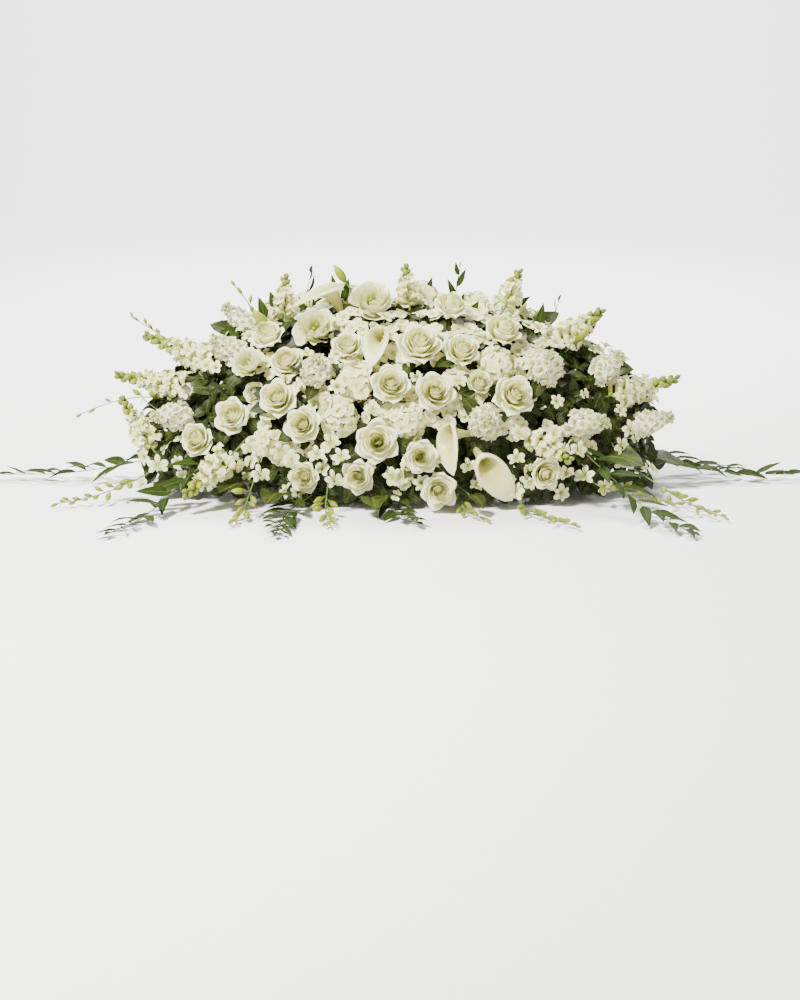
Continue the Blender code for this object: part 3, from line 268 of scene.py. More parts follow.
# The layers of a small double flower from the outside in: petals, their reach and their steepness
STOCK_LAYERS = ((6, 1.0, 0.05), (5, 0.78, 0.38), (4, 0.48, 0.80))
# A snapdragon's lobes: the way each points, half its width, how far it reaches and its droop
LIPS = (
    (0.0, 0.42, 0.40, 0.26),
    (0.85, 0.42, 0.38, 0.22),
    (-0.85, 0.42, 0.38, 0.22),
    (2.55, 0.55, 0.42, 0.02),
    (-2.55, 0.55, 0.42, 0.02),
)
# A dendrobium flower's sepals and petals: the way each points, half its width and its reach
ORCHID_PARTS = (
    (math.pi / 2, 0.46, 1.0),
    (-math.pi / 2 - 1.05, 0.44, 0.96),
    (-math.pi / 2 + 1.05, 0.44, 0.96),
    (0.28, 0.62, 0.98),
    (math.pi - 0.28, 0.62, 0.98),
)
ORCHID_RADIUS = 0.026
ORCHID_STALK = 0.0228
ORCHID_BARE = 0.45  # the share of a spray before its first flower
ORCHID_STEP = 0.085  # the share from one flower to the next
ORCHID_BUD = 0.030
RUSCUS_LEAF = 0.066
RUSCUS_LEAVES = 2.7  # for each pair on the solid
SHORT_STRAND = 4  # strands with fewer pairs than this have small leaves
# A leaf's widest place, how its sides stand over its rib, how its rib arches, how wavy and how
# pointed it is, and its rows and columns of points
LEAF_KINDS = {
    "salal": (0.42, 0.10, 0.07, 0.035, 0.75, (12, 9)),
    "inner": (0.42, 0.10, 0.07, 0.035, 0.75, (7, 5)),
    "rose": (0.48, 0.08, 0.10, 0.030, 0.85, (7, 5)),
    "ruscus": (0.34, 0.14, 0.05, 0.02, 1.0, (8, 5)),
}
CALYX_TIPS = 5
COLLAR_LEAVES = 4
# The coats of a bunch, before those of the flowers that grow on it
STEM, SALAL_COAT, RUSCUS_COAT, FLOWER_COAT = range(4)

SEED = 20
INNER_LEAVES = 640  # tried inside the mound
GAP_TRIES = 1100
GAP_APART = 24 * MM
GOLDEN_STEPS = (0.7548776662, 0.5698402910)  # steps that spread points evenly over a square

CAMERA_TARGET = (0, 0, -0.042)
CAMERA_DISTANCE = 5
CAMERA_RISE = math.radians(12)
CAMERA_LENS = 76.6
WORLD_COLOUR = (1.0, 0.995, 0.98, 1)
WORLD_STRENGTH = 0.34
FLOOR_COLOUR = (0.93, 0.93, 0.92, 1)
FLOOR_REACH = 30  # to each side and to the front
FLOOR_BACK = 7  # where the floor starts to bend up to the backdrop
BACKDROP_BEND = 3
BACKDROP_HEIGHT = 9
# The lights: place, what each shines at, its width, its power and its colour
LIGHTS = (
    ("key", (-1.8, -2.6, 3.4), (0, 0, 0.2), 0.8, 740, (1.0, 0.98, 0.94)),
    ("fill", (2.8, -3.0, 1.5), (0, 0, 0.2), 1.6, 45, (1.0, 0.99, 0.96)),
    ("top", (0.3, 1.8, 3.2), (0, 0, 0.2), 1.4, 140, (1.0, 0.99, 0.97)),
    ("backdrop light", (0, 3.5, 6.0), (0, 9.0, 0.8), 5.0, 1750, (1.0, 1.0, 1.0)),
)

GREEN = (0.42, 0.55, 0.12)
BUD_GREEN = (0.24, 0.28, 0.005)
# The colours of a petal: its body, rim, foot, heart and young buds. The foot is greener and
# darker: partly the petal's own green base, partly painted shade deep between the petals.
# Then how much light comes through it, how many veins it has, how rough it is, and that
# light's colour if not its rim's.
PETALS = {
    "rose petal": (
        ((0.875, 0.865, 0.56), (0.96, 0.955, 0.84), (0.57, 0.59, 0.03), (0.66, 0.66, 0.04), GREEN),
        (0.20, 9, 0.52, (0.91, 0.90, 0.24)),
    ),
    "lisianthus petal": (
        ((0.87, 0.855, 0.58), (0.95, 0.94, 0.75), (0.46, 0.51, 0.05), (0.54, 0.58, 0.08), GREEN),
        (0.26, 14, 0.52, (0.93, 0.92, 0.50)),
    ),
    "stock petal": (
        ((0.88, 0.855, 0.6), (0.97, 0.95, 0.8), (0.34, 0.36, 0.02), (0.42, 0.44, 0.02), (0.24, 0.265, 0.004)),
        (0.20, 7, 0.60),
    ),
    "hydrangea petal": (
        ((0.79, 0.77, 0.40), (0.90, 0.885, 0.62), (0.44, 0.47, 0.08), (0.36, 0.42, 0.05), (0.36, 0.47, 0.08)),
        (0.18, 6, 0.58, (0.82, 0.84, 0.36)),
    ),
    # the sheath's body is darker and greener than its rim, and its heart, laid on the inner face, darker
    # still: painted shade in the throat over the sheath's own cream and green
    "calla sheath": (
        ((0.62, 0.62, 0.25), (0.89, 0.885, 0.60), (0.22, 0.23, 0.02), (0.42, 0.36, 0.05), GREEN),
        (0.18, 18, 0.38, (0.88, 0.86, 0.40)),
    ),
    "snapdragon petal": (
        ((0.76, 0.77, 0.36), (0.91, 0.9, 0.66), (0.32, 0.37, 0.015), (0.78, 0.68, 0.1), (0.16, 0.2, 0.003)),
        (0.20, 8, 0.52),
    ),
    "orchid petal": (
        ((0.75, 0.77, 0.38), (0.87, 0.88, 0.6), (0.24, 0.29, 0.004), (0.4, 0.43, 0.006), (0.3, 0.34, 0.001)),
        (0.20, 12, 0.42),
    ),
    "orchid bud": (
        ((0.22, 0.245, 0.0), (0.27, 0.29, 0.0), (0.10, 0.14, 0.0), (0.22, 0.245, 0.0), (0.07, 0.105, 0.0)),
        (0.06, 9, 0.42),
    ),
    "snapdragon bud": (
        (BUD_GREEN, (0.36, 0.38, 0.012), (0.12, 0.16, 0.002), BUD_GREEN, (0.055, 0.085, 0.001)),
        (0.06, 9, 0.45),
    ),
}
# The colours of a stem or of a slim part of a flower, and the colours of its deeper patches
STEMS = {
    "green stem": ((0.11, 0.19, 0.03), (0.045, 0.085, 0.015)),
    "green pistil": ((0.24, 0.29, 0.004), (0.14, 0.19, 0.002)),
    "yellow anther": ((0.72, 0.52, 0.08), (0.60, 0.40, 0.05)),
    "yellow spadix": ((0.82, 0.58, 0.06), (0.70, 0.44, 0.04)),
}
# The colours of a leaf, of its deeper patches and of its ribs, then how many side veins it has and
# how they lean, and how rough and how shiny it is. The deep colour is also the painted shade that
# leaves deep in the mound and in the gaps take.
LEAVES = {
    "salal leaf": ((0.056, 0.076, 0.009), (0.009, 0.015, 0.003), (0.12, 0.14, 0.02), 8, 0.30, 0.40, 0.18),
    "ruscus leaf": ((0.042, 0.068, 0.009), (0.011, 0.022, 0.004), (0.09, 0.13, 0.02), 3, 1.6, 0.48, 0.06),
}
# The coats of the greens on every bunch, and of each bloom that is a piece of its own
GREENS = ["green stem", "salal leaf", "ruscus leaf"]
BLOOM_COATS = {
    "rose": ["rose petal"],
    "lisianthus": ["lisianthus petal", "green pistil", "yellow anther"],
    "stock": ["stock petal", "green stem"],
}
# The slot of each kind of bunch, and the coats of the flowers that grow on it
BUNCH_FLOWERS = {
    "callas": ("calla", ["calla sheath", "yellow spadix", "green stem"]),
    "hydrangeas": ("hydrangea", ["hydrangea petal", "green stem"]),
    "snapdragons": ("snapdragon", ["snapdragon petal", "green stem", "snapdragon bud"]),
    "orchids": ("orchid", ["orchid petal", "orchid bud"]),
    "greenery": ("greenery", []),
}


def on_mound(x, height, depth):
    """The mound's point at x and at a height over its base, and the way out of the mound there."""
    rest = 1 - (x / MOUND_HALF_LENGTH) ** 2 - (height / MOUND_HEIGHT) ** 2
    y = depth * math.sqrt(max(rest, 0.0))
    out = Vector((x / MOUND_HALF_LENGTH**2, y / depth**2, height / MOUND_HEIGHT**2))
    return Vector((x, y, height + MOUND_BASE)), out.normalized()


def on_shell(x, height, depth, share):
    """A place under the mound's surface, at a share of its size, and the way out there."""
    place, out = on_mound(x, height, depth)
    inner = Vector((place.x, place.y, place.z - MOUND_BASE)) * share
    return inner + UP * MOUND_BASE, out


def mound_spots(front, back):
    """The place, the way out and the width of each row of a table, in front and behind."""
    for rows, depth in ((front, -MOUND_HALF_DEPTH), (back, MOUND_BACK_DEPTH)):
        for row in rows:
            x, height, width, proud = (value * MM for value in row)
            place, out = on_mound(x, height, depth)
            yield place + out * proud, out, width


def raised(point):
    """A point in millimetres over the mound's flat side, in metres over the surface."""
    return Vector(point) * MM + UP * MOUND_BASE


class Head:
    """A bloom on a seat of its own: its middle, the way it looks, its width and its length."""

    def __init__(self, name, kind, middle, facing, width, length=None):
        self.name = name
        self.kind = kind
        self.middle = Vector(middle)
        self.facing = Vector(facing).normalized()
        self.width = width
        self.length = length or width * HEAD_LENGTHS[kind]

    def foot(self):
        return self.middle - self.facing * self.length * FOOT_SHARES[self.kind]

    def balls(self):
        """The balls that the head fits in, as places along its axis and a radius."""
        if self.kind == "calla":
            ahead = self.facing * self.width
            return [(self.middle + ahead * place, self.width * radius) for place, radius in CALLA_BALLS]
        spare = max(self.length - self.width, 0) / 2 if self.kind == "stock" else 0.0
        steps = (-1, 0, 1) if spare else (0,)
        return [(self.middle + self.facing * spare * step, self.width / 2) for step in steps]


def all_heads():
    """Every bloom with a seat of its own, as the tables give it, moved clear of its neighbours."""
    heads = []
    for kind, tables in MOUND_HEADS.items():
        for number, (place, out, width) in enumerate(mound_spots(*tables), 1):
            heads.append(Head(f"{kind}_{number:02d}", kind, place, out, width))
    for number, (middle, way, width) in enumerate(CALLAS, 1):
        heads.append(Head(f"calla_{number:02d}", "calla", raised(middle), way, width * MM))
    for number, (middle, way, length, width) in enumerate(STOCKS, 1):
        heads.append(Head(f"stock_{number:02d}", "stock", raised(middle), way, width * MM, length * MM))
    settle(heads)
    return heads


def settle(heads):
    """Moves heads apart until the balls round them no longer meet."""
    for _ in range(SETTLE_ROUNDS):
        for i, one in enumerate(heads):
            for other in heads[i + 1 :]:
                if (one.middle - other.middle).length < SETTLE_REACH:
                    push_apart(one, other)
        for head in heads:
            head.middle.z = max(head.middle.z, head.width / 2 + HEAD_LIFT)


def push_apart(one, other):
    for place, radius in one.balls():
        for rival, rival_radius in other.balls():
            gap = place - rival
            overlap = radius + rival_radius + HEAD_GAP - gap.length
            if overlap > 0:
                push = gap.normalized() * overlap * 0.5
                one.middle += push
                other.middle -= push
                return


def bezier(a, b, c, d, steps):
    shares = [step / steps for step in range(steps + 1)]
    return [a * (1 - t) ** 3 + b * 3 * t * (1 - t) ** 2 + c * 3 * t**2 * (1 - t) + d * t**3 for t in shares]


def smooth(points, steps):
    """A smooth line through the points, in so many steps from each to the next."""
    line = [points[0]]
    ends = [points[0] * 2 - points[1], *points, points[-1] * 2 - points[-2]]
    for before, start, stop, after in zip(ends, ends[1:], ends[2:], ends[3:]):
        line += bezier(start, start + (stop - before) / 6, stop - (after - start) / 6, stop, steps)[1:]
    return line


def at_share(line, share):
    """The place at a share of the line's length, and the way the line runs there."""
    lengths = [(stop - start).length for start, stop in zip(line, line[1:])]
    left = share * sum(lengths)
    for start, stop, length in zip(line, line[1:], lengths):
        if left <= length or stop is line[-1]:
            return start.lerp(stop, min(left / length, 1)), (stop - start).normalized()
        left -= length


def rib_frame(line, share):
    """A place on a line, with the ways along it, across it on the level, and up from it."""
    rib, along = at_share(line, share)
    across = UP.cross(along)
    if across.length < 0.4:
        across = UP.cross(line[-1] - line[0])
    across = (across - along * across.dot(along)).normalized()
    return rib, along, across, along.cross(across)


def ring_way(angle):
    """The level way at an angle round Z."""
    return Vector((math.cos(angle), math.sin(angle), 0))


def round_way(out, angle):
    """The way at an angle round another way, square to it."""
    across = out.cross(UP).normalized()
    return across * math.cos(angle) + across.cross(out) * math.sin(angle)


def axes(x, y, z):
    """The turn that puts a growth's own axes along three ways, for its points as rows."""
    return np.array(Matrix((x, y, z)).transposed())


def facing(way, spin=0.0):
    """The turn that puts a growth's own Z along a way."""
    return np.array(Vector(way).to_track_quat("Z", "Y").to_matrix() @ Matrix.Rotation(spin, 3, "Z"))


def along_x(way, face):
    """The turn that puts a leaf's own X along a way and its Z as near to a face as it can."""
    ahead = Vector(way).normalized()
    side = Vector(face).cross(ahead).normalized()
    return axes(ahead, side, ahead.cross(side))


def facing_down(way, ahead):
    """The turn that puts a flower's own Z along a way and its X, its lower lip, to the stem's foot."""
    z = Vector(way).normalized()
    x = (-ahead - z * z.dot(-ahead)).normalized()
    return axes(x, z.cross(x), z)


def lip_down(way):
    """The turn that puts a flower's own Z along a way and its lip down."""
    z = Vector(way).normalized()
    y = (UP - z * z.dot(UP)).normalized()
    return axes(y.cross(z), y, z)


class Growth:
    """The sheets of one piece while it grows. Each point keeps two notes for its paint: its spot
    on its own petal or leaf, and the tone of that petal or leaf."""

    def __init__(self):
        self.parts = []
        self.size = 0

    def take(self, points, faces, *notes):
        self.parts.append((points, faces + self.size, *notes))
        self.size += len(points)

    def whole(self):
        """All that has grown, as arrays: points, faces, spots, tones and coats."""
        return [np.concatenate(rows) for rows in zip(*self.parts)]

    def sheet(self, grid, tone, coat=0, ring=False, seed=0.0):
        """A sheet through a grid of points, one row after another from its foot to its rim."""
        rows, columns = grid.shape[:2]
        u, v = np.meshgrid(np.linspace(-1, 1, columns), np.linspace(0, 1, rows))
        index = np.arange(rows * columns).reshape(rows, columns)
        if ring:
            index = np.hstack([index, index[:, :1]])
        corners = (index[:-1, :-1], index[:-1, 1:], index[1:, 1:], index[1:, :-1])
        faces = np.stack(corners, axis=-1).reshape(-1, 4)
        spots = np.dstack([u, v, np.full_like(u, seed)]).reshape(-1, 3)
        tones = np.tile(np.array(tone, float), (rows * columns, 1))
        self.take(grid.reshape(-1, 3), faces, spots, tones, np.full(len(faces), coat))

    def petal(self, rng, spin, half, path, inner=0.0, lit=0.6, young=0.0, **form):
        """A petal with its own seed, lit at least so much."""
        made = petal(rng, spin, half, path, **form)
        self.sheet(made, (inner, lit + rng.uniform(0, 1 - lit), young), seed=rng.uniform(0, 9))

    def stamp(self, whole, place, turn, size=1.0, seed=0.0, tone=(0, 0, 0), shift=0):
        """A growth's arrays, sized, turned and set in place, with more of a tone."""
        points, faces, spots, tones, coats = whole
        spots = spots + (0, 0, seed)
        self.take(points * size @ turn.T + np.array(place), faces, spots, tones + tone, coats + shift)

    def bead(self, grid, place, way, tone, coat=0, size=1.0):
        """A closed sheet along a way, such as a bud."""
        self.stamp(lobe(grid, tone, coat), place, facing(way), size)

    def piece(self, name, paint_names, slot, nodes=()):
        """The finished piece, in place of the nodes it stands for."""
        points, faces, spots, tones, coats = self.whole()
        points[:, 2] = np.maximum(points[:, 2], FLOOR_GAP)
        mesh = bpy.data.meshes.new(name)
        mesh.vertices.add(len(points))
        mesh.vertices.foreach_set("co", points.astype(np.float32).ravel())
        mesh.loops.add(faces.size)
        mesh.loops.foreach_set("vertex_index", faces.astype(np.int32).ravel())
        mesh.polygons.add(len(faces))
        mesh.polygons.foreach_set("loop_start", np.arange(0, faces.size, 4, dtype=np.int32))
        mesh.polygons.foreach_set("material_index", coats.astype(np.int32))
        mesh.update(calc_edges=True)
        for title, notes in (("spot", spots), ("tone", tones)):
            kept = mesh.attributes.new(title, "FLOAT_VECTOR", "POINT")
            kept.data.foreach_set("vector", notes.astype(np.float32).ravel())
        mesh.shade_smooth()
        for paint_name in paint_names:
            mesh.materials.append(paints[paint_name])
        thing = bpy.data.objects.new(name, mesh)
        bpy.context.scene.collection.objects.link(thing)
        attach(thing, "root")
        if nodes:
            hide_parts(*nodes)


def lobe(grid, tone, coat=0):
    """One closed sheet as a growth's arrays."""
    part = Growth()
    part.sheet(grid, tone, coat, ring=True)
    return part.whole()


def curved(controls, shares):
    """Points of a cubic curve at shares of its way, from four control points."""
    a, b, c, d = (np.array(control, float) for control in controls)
    t = shares[..., None]
    return a * (1 - t) ** 3 + b * 3 * t * (1 - t) ** 2 + c * 3 * t**2 * (1 - t) + d * t**3


def petal(
    rng, spin, half, path, dip=0.2, point=2.4, taper=0, fold=(0, 0), lap=0, ripple=0, waves=3, shape=(5, 5)
):
    """A petal round Z. Its path gives radius and height from foot to rim, dip how much its rim falls
    short at the sides, the more pointed the lower its point is, taper how much it narrows there,
    fold how far the sides go in and down, and lap how one side overlaps."""
    rows, columns = shape
    u, v = np.meshgrid(np.linspace(-1, 1, columns), np.linspace(0, 1, rows))
    side = np.abs(u)
    radius, height = np.moveaxis(curved(path, v * (1 - dip * side**point)), -1, 0)
    bend = side**2.5 * v**2
    phase = rng.uniform(0, math.tau, 2)
    wave = ripple * v**2.5 * np.sin(waves * math.pi * u / 2 + phase[0])
    radius = radius * (1 + lap * u) - fold[0] * bend + wave * np.cos(phase[1])
    height = height - fold[1] * bend + wave * np.sin(phase[1])
    spread = (0.28 + 0.72 * np.sin(np.minimum(v / 0.6, 1) * math.pi / 2)) * (1 - taper * v**5)
    angle = spin + half * u * spread
    return np.dstack([radius * np.cos(angle), radius * np.sin(angle), height])


def blade(length, width, peak, fold, arch, wave, point, shape, phase):
    """A leaf along X with its face up, in the form that LEAF_KINDS describes."""
    rows, columns = shape
    u, t = np.meshgrid(np.linspace(-1, 1, columns), np.linspace(0, 1, rows))
    before = np.sin(np.minimum(t / peak, 1) * math.pi / 2) ** 0.8
    after = np.cos(np.clip((t - peak) / (1 - peak), 0, 1) * math.pi / 2) ** point
    reach = width / 2 * np.maximum(before * after, 0.02)
    lift = np.abs(u) * reach * fold * 2 + arch * length * np.sin(math.pi * t)
    lift = lift + wave * width * u**2 * np.sin(t * 17 + phase + (u > 0) * 1.3)
    return np.dstack([length * t, u * reach, lift])


def rod(line, radii, sides=6):
    """A round bar along a line, with one radius or one for each of its points."""
    places = np.array([tuple(place) for place in line])
    ahead = np.gradient(places, axis=0)
    ahead /= np.linalg.norm(ahead, axis=1)[:, None]
    across = [np.array(Vector(ahead[0]).orthogonal().normalized())]
    for way in ahead[1:]:
        kept = across[-1] - way * across[-1].dot(way)
        across.append(kept / np.linalg.norm(kept))
    across = np.array(across)
    side = np.cross(ahead, across)
    angle = np.linspace(0, math.tau, sides, endpoint=False)
    rings = across[:, None] * np.cos(angle)[None, :, None] + side[:, None] * np.sin(angle)[None, :, None]
    return places[:, None] + rings * np.broadcast_to(radii, len(places))[:, None, None]


def turned(radii, heights, sides):
    """A round shape along Z, with these radii at these heights."""
    angle = np.linspace(0, math.tau, sides, endpoint=False)
    ring = [np.outer(radii, np.cos(angle)), np.outer(radii, np.sin(angle))]
    return np.dstack([*ring, np.outer(heights, np.ones(sides))])


def drop(length, radius, sides, rows=7, tip=1.0):
    """A bud or a berry along Z from its foot at 0, fuller towards its foot the lower its tip is."""
    t = np.linspace(0, 1, rows)
    reach = radius * np.sin(math.pi * t**tip) ** 0.75
    reach[0], reach[-1] = radius * 0.12, radius * 0.05
    return turned(reach, t * length, sides)


def operator(operation, swapped=False):
    """A method that adds the Math node of an operation and gives its result."""

    def reckon(socket, *others):
        values = (*others, socket) if swapped else (socket, *others)
        return socket.paint.node("ShaderNodeMath", {"operation": operation}, dict(enumerate(values)))

    return reckon


class Socket:
    """A number, colour or way in a paint, which can be reckoned with."""

    def __init__(self, paint, end):
        self.paint = paint
        self.end = end

    __add__ = __radd__ = operator("ADD")
    __sub__ = operator("SUBTRACT")
    __rsub__ = operator("SUBTRACT", swapped=True)
    __mul__ = __rmul__ = operator("MULTIPLY")
    __abs__ = operator("ABSOLUTE")
    wave = operator("SINE")

    def step(self, low, high):
        """0 below low, 1 above high and a smooth rise between them, or a fall where low is above."""
        settings = {"interpolation_type": "SMOOTHSTEP"}
        return self.paint.node("ShaderNodeMapRange", settings, {0: self, 1: low, 2: high, 3: 0.0, 4: 1.0})


class Paint:
    """A material, built up from nodes."""

    def __init__(self, name):
        self.material = bpy.data.materials.new(name)
        self.material.use_nodes = True
        self.tree = self.material.node_tree
        self.tree.nodes.clear()

    def node(self, kind, settings=(), values=(), out=0):
        """One output of a new node. Its settings are made before its values are given."""
        made = self.tree.nodes.new(kind)
        for key, setting in dict(settings).items():
            setattr(made, key, setting)
        for key, value in dict(values).items():
            if isinstance(value, Socket):
                self.tree.links.new(value.end, made.inputs[key])
            else:
                made.inputs[key].default_value = value
        return Socket(self, made.outputs[out]) if made.outputs else None

    def notes(self, title):
        """The three numbers of a note that the mesh keeps."""
        note = self.node("ShaderNodeAttribute", {"attribute_name": title}, out="Vector")
        split = self.node("ShaderNodeSeparateXYZ", values={0: note}).end.node
        return [Socket(self, end) for end in split.outputs]

    def join(self, x, y, z):
        return self.node("ShaderNodeCombineXYZ", values={0: x, 1: y, 2: z})

    def place(self):
        return self.node("ShaderNodeTexCoord", out="Object")

    def noise(self, vector, scale, detail=3.0, rough=0.55):
        """Soft noise from about 0 to 1."""
        values = {"Vector": vector, "Scale": scale, "Detail": detail, "Roughness": rough}
        return self.node("ShaderNodeTexNoise", values=values)

    def blend(self, factor, one, other):
        """A colour between two, as tuples or sockets."""
        colours = [(*tint, 1) if isinstance(tint, tuple) else tint for tint in (one, other)]
        values = {0: factor, 6: colours[0], 7: colours[1]}
        return self.node("ShaderNodeMix", {"data_type": "RGBA"}, values, out=2)

    def skin(self, colour, roughness, relief, distance, strength, **uniform):
        """The surface itself, with its relief and numbers that are the same all over it."""
        bump = {"Height": relief, "Distance": distance, "Strength": strength}
        values = {"Base Color": colour, "Roughness": roughness}
        values["Normal"] = self.node("ShaderNodeBump", values=bump)
        values.update({key.replace("_", " "): value for key, value in uniform.items()})
        return self.node("ShaderNodeBsdfPrincipled", values=values)

    def finish(self, surface):
        self.node("ShaderNodeOutputMaterial", values={"Surface": surface})
        return self.material

    def finish_thin(self, surface, light, glow):
        """The finish of a thin thing that a little light comes through, in a colour of its own."""
        through = self.node("ShaderNodeBsdfTranslucent", values={"Color": (*light, 1)})
        return self.finish(self.node("ShaderNodeMixShader", values={0: glow, 1: surface, 2: through}))


def petal_paint(name, body, rim, foot, heart, young, glow, veins, rough, lit=None):
    """A thin petal: its foot and rim differ from its body, as do heart petals and young buds, fine
    veins run up it, and a little light comes through. Its foot is greener and darker, partly its
    own colour and partly painted shade deep between the petals."""
    paint = Paint(name)
    across, along, seed = paint.notes("spot")
    inner, shade, green = paint.notes("tone")
    wide = across * (0.35 + 0.65 * along)
    cloud = paint.noise(paint.join(wide + seed * 7.3, along * 1.2, seed), 2.6)
    fibre = paint.noise(paint.join(wide * veins, along * 0.7, seed * 3.1), 3.0, 4.0)
    speck = paint.noise(paint.place(), 420.0, 2.0)
    colour = paint.blend(along.step(0.72, 1.0) * 0.8, body, rim)
    # the foot: the petal's own greener base, darkened further as painted shade deep between the petals
    colour = paint.blend(along.step(0.80, 0.0) * (0.75 + 0.25 * cloud), colour, foot)
    colour = paint.blend(inner * along.step(1.7, 0.2), colour, heart)
    colour = paint.blend(green.step(0.0, 1.0) * (1.0 - 0.35 * along), colour, young)
    darker = tuple(part * 0.70 for part in body)
    colour = paint.blend(cloud.step(0.45, 0.75) * 0.25 + (1.0 - shade) * 0.30, colour, darker)
    colour = paint.blend(fibre.step(0.55, 0.80) * 0.16, colour, foot)
    roughness = rough + (speck - 0.5) * 0.18 - green * 0.08
    relief = fibre * 0.7 + cloud * 0.5 + speck * 0.10
    front = paint.skin(colour, roughness, relief, 0.7 * MM, 0.55, Specular_IOR_Level=0.42, Sheen_Weight=0.08)
    return paint.finish_thin(front, lit or rim, glow)


def leaf_paint(name, body, deep, rib, side_veins, lean, gloss, shine):
    """A leaf with a pale midrib and side veins that run out to its edge, more along it the more
    they lean."""
    paint = Paint(name)
    across, along, seed = paint.notes("spot")
    shade, young = paint.notes("tone")[1:]
    out = abs(across)
    cloud = paint.noise(paint.join(across + seed * 5.7, along * 2.0, seed), 2.2)
    speck = paint.noise(paint.place(), 520.0, 2.0)
    crooked = (cloud - 0.5) * 0.10
    run = ((along - out * lean + crooked) * side_veins * math.pi).wave()
    vein = abs(run).step(0.30, 0.0) * out.step(1.0, 0.15)
    midrib = out.step(0.085, 0.02)
    pale = tuple(part * 2.2 + 0.02 for part in body)
    colour = paint.blend(cloud.step(0.30, 0.72), deep, body)
    # leaves with a low tone, those deep in the mound and in the gaps, are painted towards the deep colour as
    # painted shade; other leaves differ at random
    colour = paint.blend(1.0 - shade, colour, deep)
    for mask in (vein * 0.42, midrib * 0.75, out.step(0.93, 1.0) * 0.30):
        colour = paint.blend(mask, colour, rib)
    colour = paint.blend(young * 0.8, colour, pale)
    roughness = gloss + (cloud - 0.5) * 0.16 + speck * 0.12
    relief = cloud * 0.6 - vein * 0.5 - midrib * 0.8 + speck * 0.06
    front = paint.skin(colour, roughness, relief, 0.9 * MM, 0.7, Specular_IOR_Level=shine)
    return paint.finish_thin(front, pale, 0.06)


def stem_paint(name, body, deep):
    """A ribbed green stem."""
    paint = Paint(name)
    across, along, seed = paint.notes("spot")
    shade = paint.notes("tone")[1]
    cloud = paint.noise(paint.place(), 60.0)
    ribs = (across * 9.0 * math.pi).wave()
    grain = paint.noise(paint.join(across * 6.0, along * 40.0, seed), 3.0)
    colour = paint.blend(cloud.step(0.35, 0.7) * 0.6 + (1.0 - shade) * 0.4, body, deep)
    roughness = 0.42 + grain * 0.2
    relief = ribs * 0.2 + grain * 0.5
    return paint.finish(paint.skin(colour, roughness, relief, 0.4 * MM, 0.6, Coat_Weight=0.05))


def foam_paint():
    """Wet floral foam: fine crumbly cells, and patches that are wetter and darker."""
    paint = Paint("wet floral foam")
    place = paint.place()
    cells = paint.noise(place, 900.0, 2.0, 0.7)
    crumbs = paint.noise(place, 240.0, 4.0, 0.65)
    wet = paint.noise(place, 14.0).step(0.42, 0.62)
    colour = paint.blend(wet, (0.085, 0.225, 0.115), (0.035, 0.125, 0.060))
    colour = paint.blend(crumbs.step(0.50, 0.80) * 0.5, colour, (0.15, 0.32, 0.17))
    roughness = 0.92 - wet * 0.25
    relief = cells * 0.4 + crumbs * 0.8
    return paint.finish(paint.skin(colour, roughness, relief, 1.2 * MM, 0.9))


def saddle_paint():
    """Moulded dark green plastic: a fine grain, faint flow marks and dried drops of water."""
    paint = Paint("moulded green plastic")
    place = paint.place()
    grain = paint.noise(place, 700.0, 2.0)
    flow = paint.noise(place, 9.0, 2.0)
    drops = paint.noise(place, 70.0, 1.0).step(0.66, 0.74)
    colour = paint.blend(flow.step(0.3, 0.7), (0.030, 0.085, 0.042), (0.045, 0.115, 0.058))
    colour = paint.blend(drops * 0.35, colour, (0.16, 0.21, 0.17))
    roughness = 0.34 + flow * 0.12 + drops * 0.25
    relief = grain * 0.5 + flow * 0.3
    return paint.finish(paint.skin(colour, roughness, relief, 0.15 * MM, 0.5, Coat_Weight=0.08))


def rose(rng, width, opened):
    """A rose: petals wound round its heart in layers, the outer ones rolled back to pointed tips."""
    bloom = Growth()
    reach, length = width / 2, width * HEAD_LENGTHS["rose"]
    for order, (count, half, rim, top, roll, dip) in enumerate(ROSE_LAYERS):
        s = order / (len(ROSE_LAYERS) - 1)  # 0 in the heart, 1 at the outside
        start = rng.uniform(0, math.tau)
        for number in range(count):
            loose = rng.normal(0, 1, 4)
            far = reach * rim * (1 - (1 - opened) * 0.35 * s) * (1 + 0.055 * loose[0])
            high = length * (top + (1 - opened) * 0.30 * s) * (1 + 0.030 * loose[1])
            curl = length * roll * opened * (1 + 0.20 * loose[2])
            path = (
                (reach * (0.04 + 0.08 * s), length * 0.02),
                (max(far * (1.04 - 0.30 * s), reach * 0.14), length * (0.16 - 0.10 * s)),
                (far * (1.06 - 0.30 * s * opened), high + curl),
                (far, high - curl * 0.35),
            )
            form = {
                "dip": dip * (1 + 0.12 * loose[0]),
                "point": 2.1 - 1.25 * s,
                "taper": 0.36 * s * opened,
                "fold": (reach * 0.06 * s * opened, curl * 0.85),
                "lap": 0.085 + 0.12 * (1 - s) ** 2,
                "ripple": reach * 0.026 * s,
                "shape": (9, 11) if s > 0.3 else (6, 11),
            }
            spin = start + math.tau * number / count + 0.09 * loose[3]
            bloom.petal(rng, spin, half, path, max(1 - s / 0.75, 0) ** 0.8, 0.55, waves=2, **form)
    bloom.sheet(drop(length * 0.93, reach * 0.07, 7, 5), (1, 0.6, 0), ring=True)
    return bloom


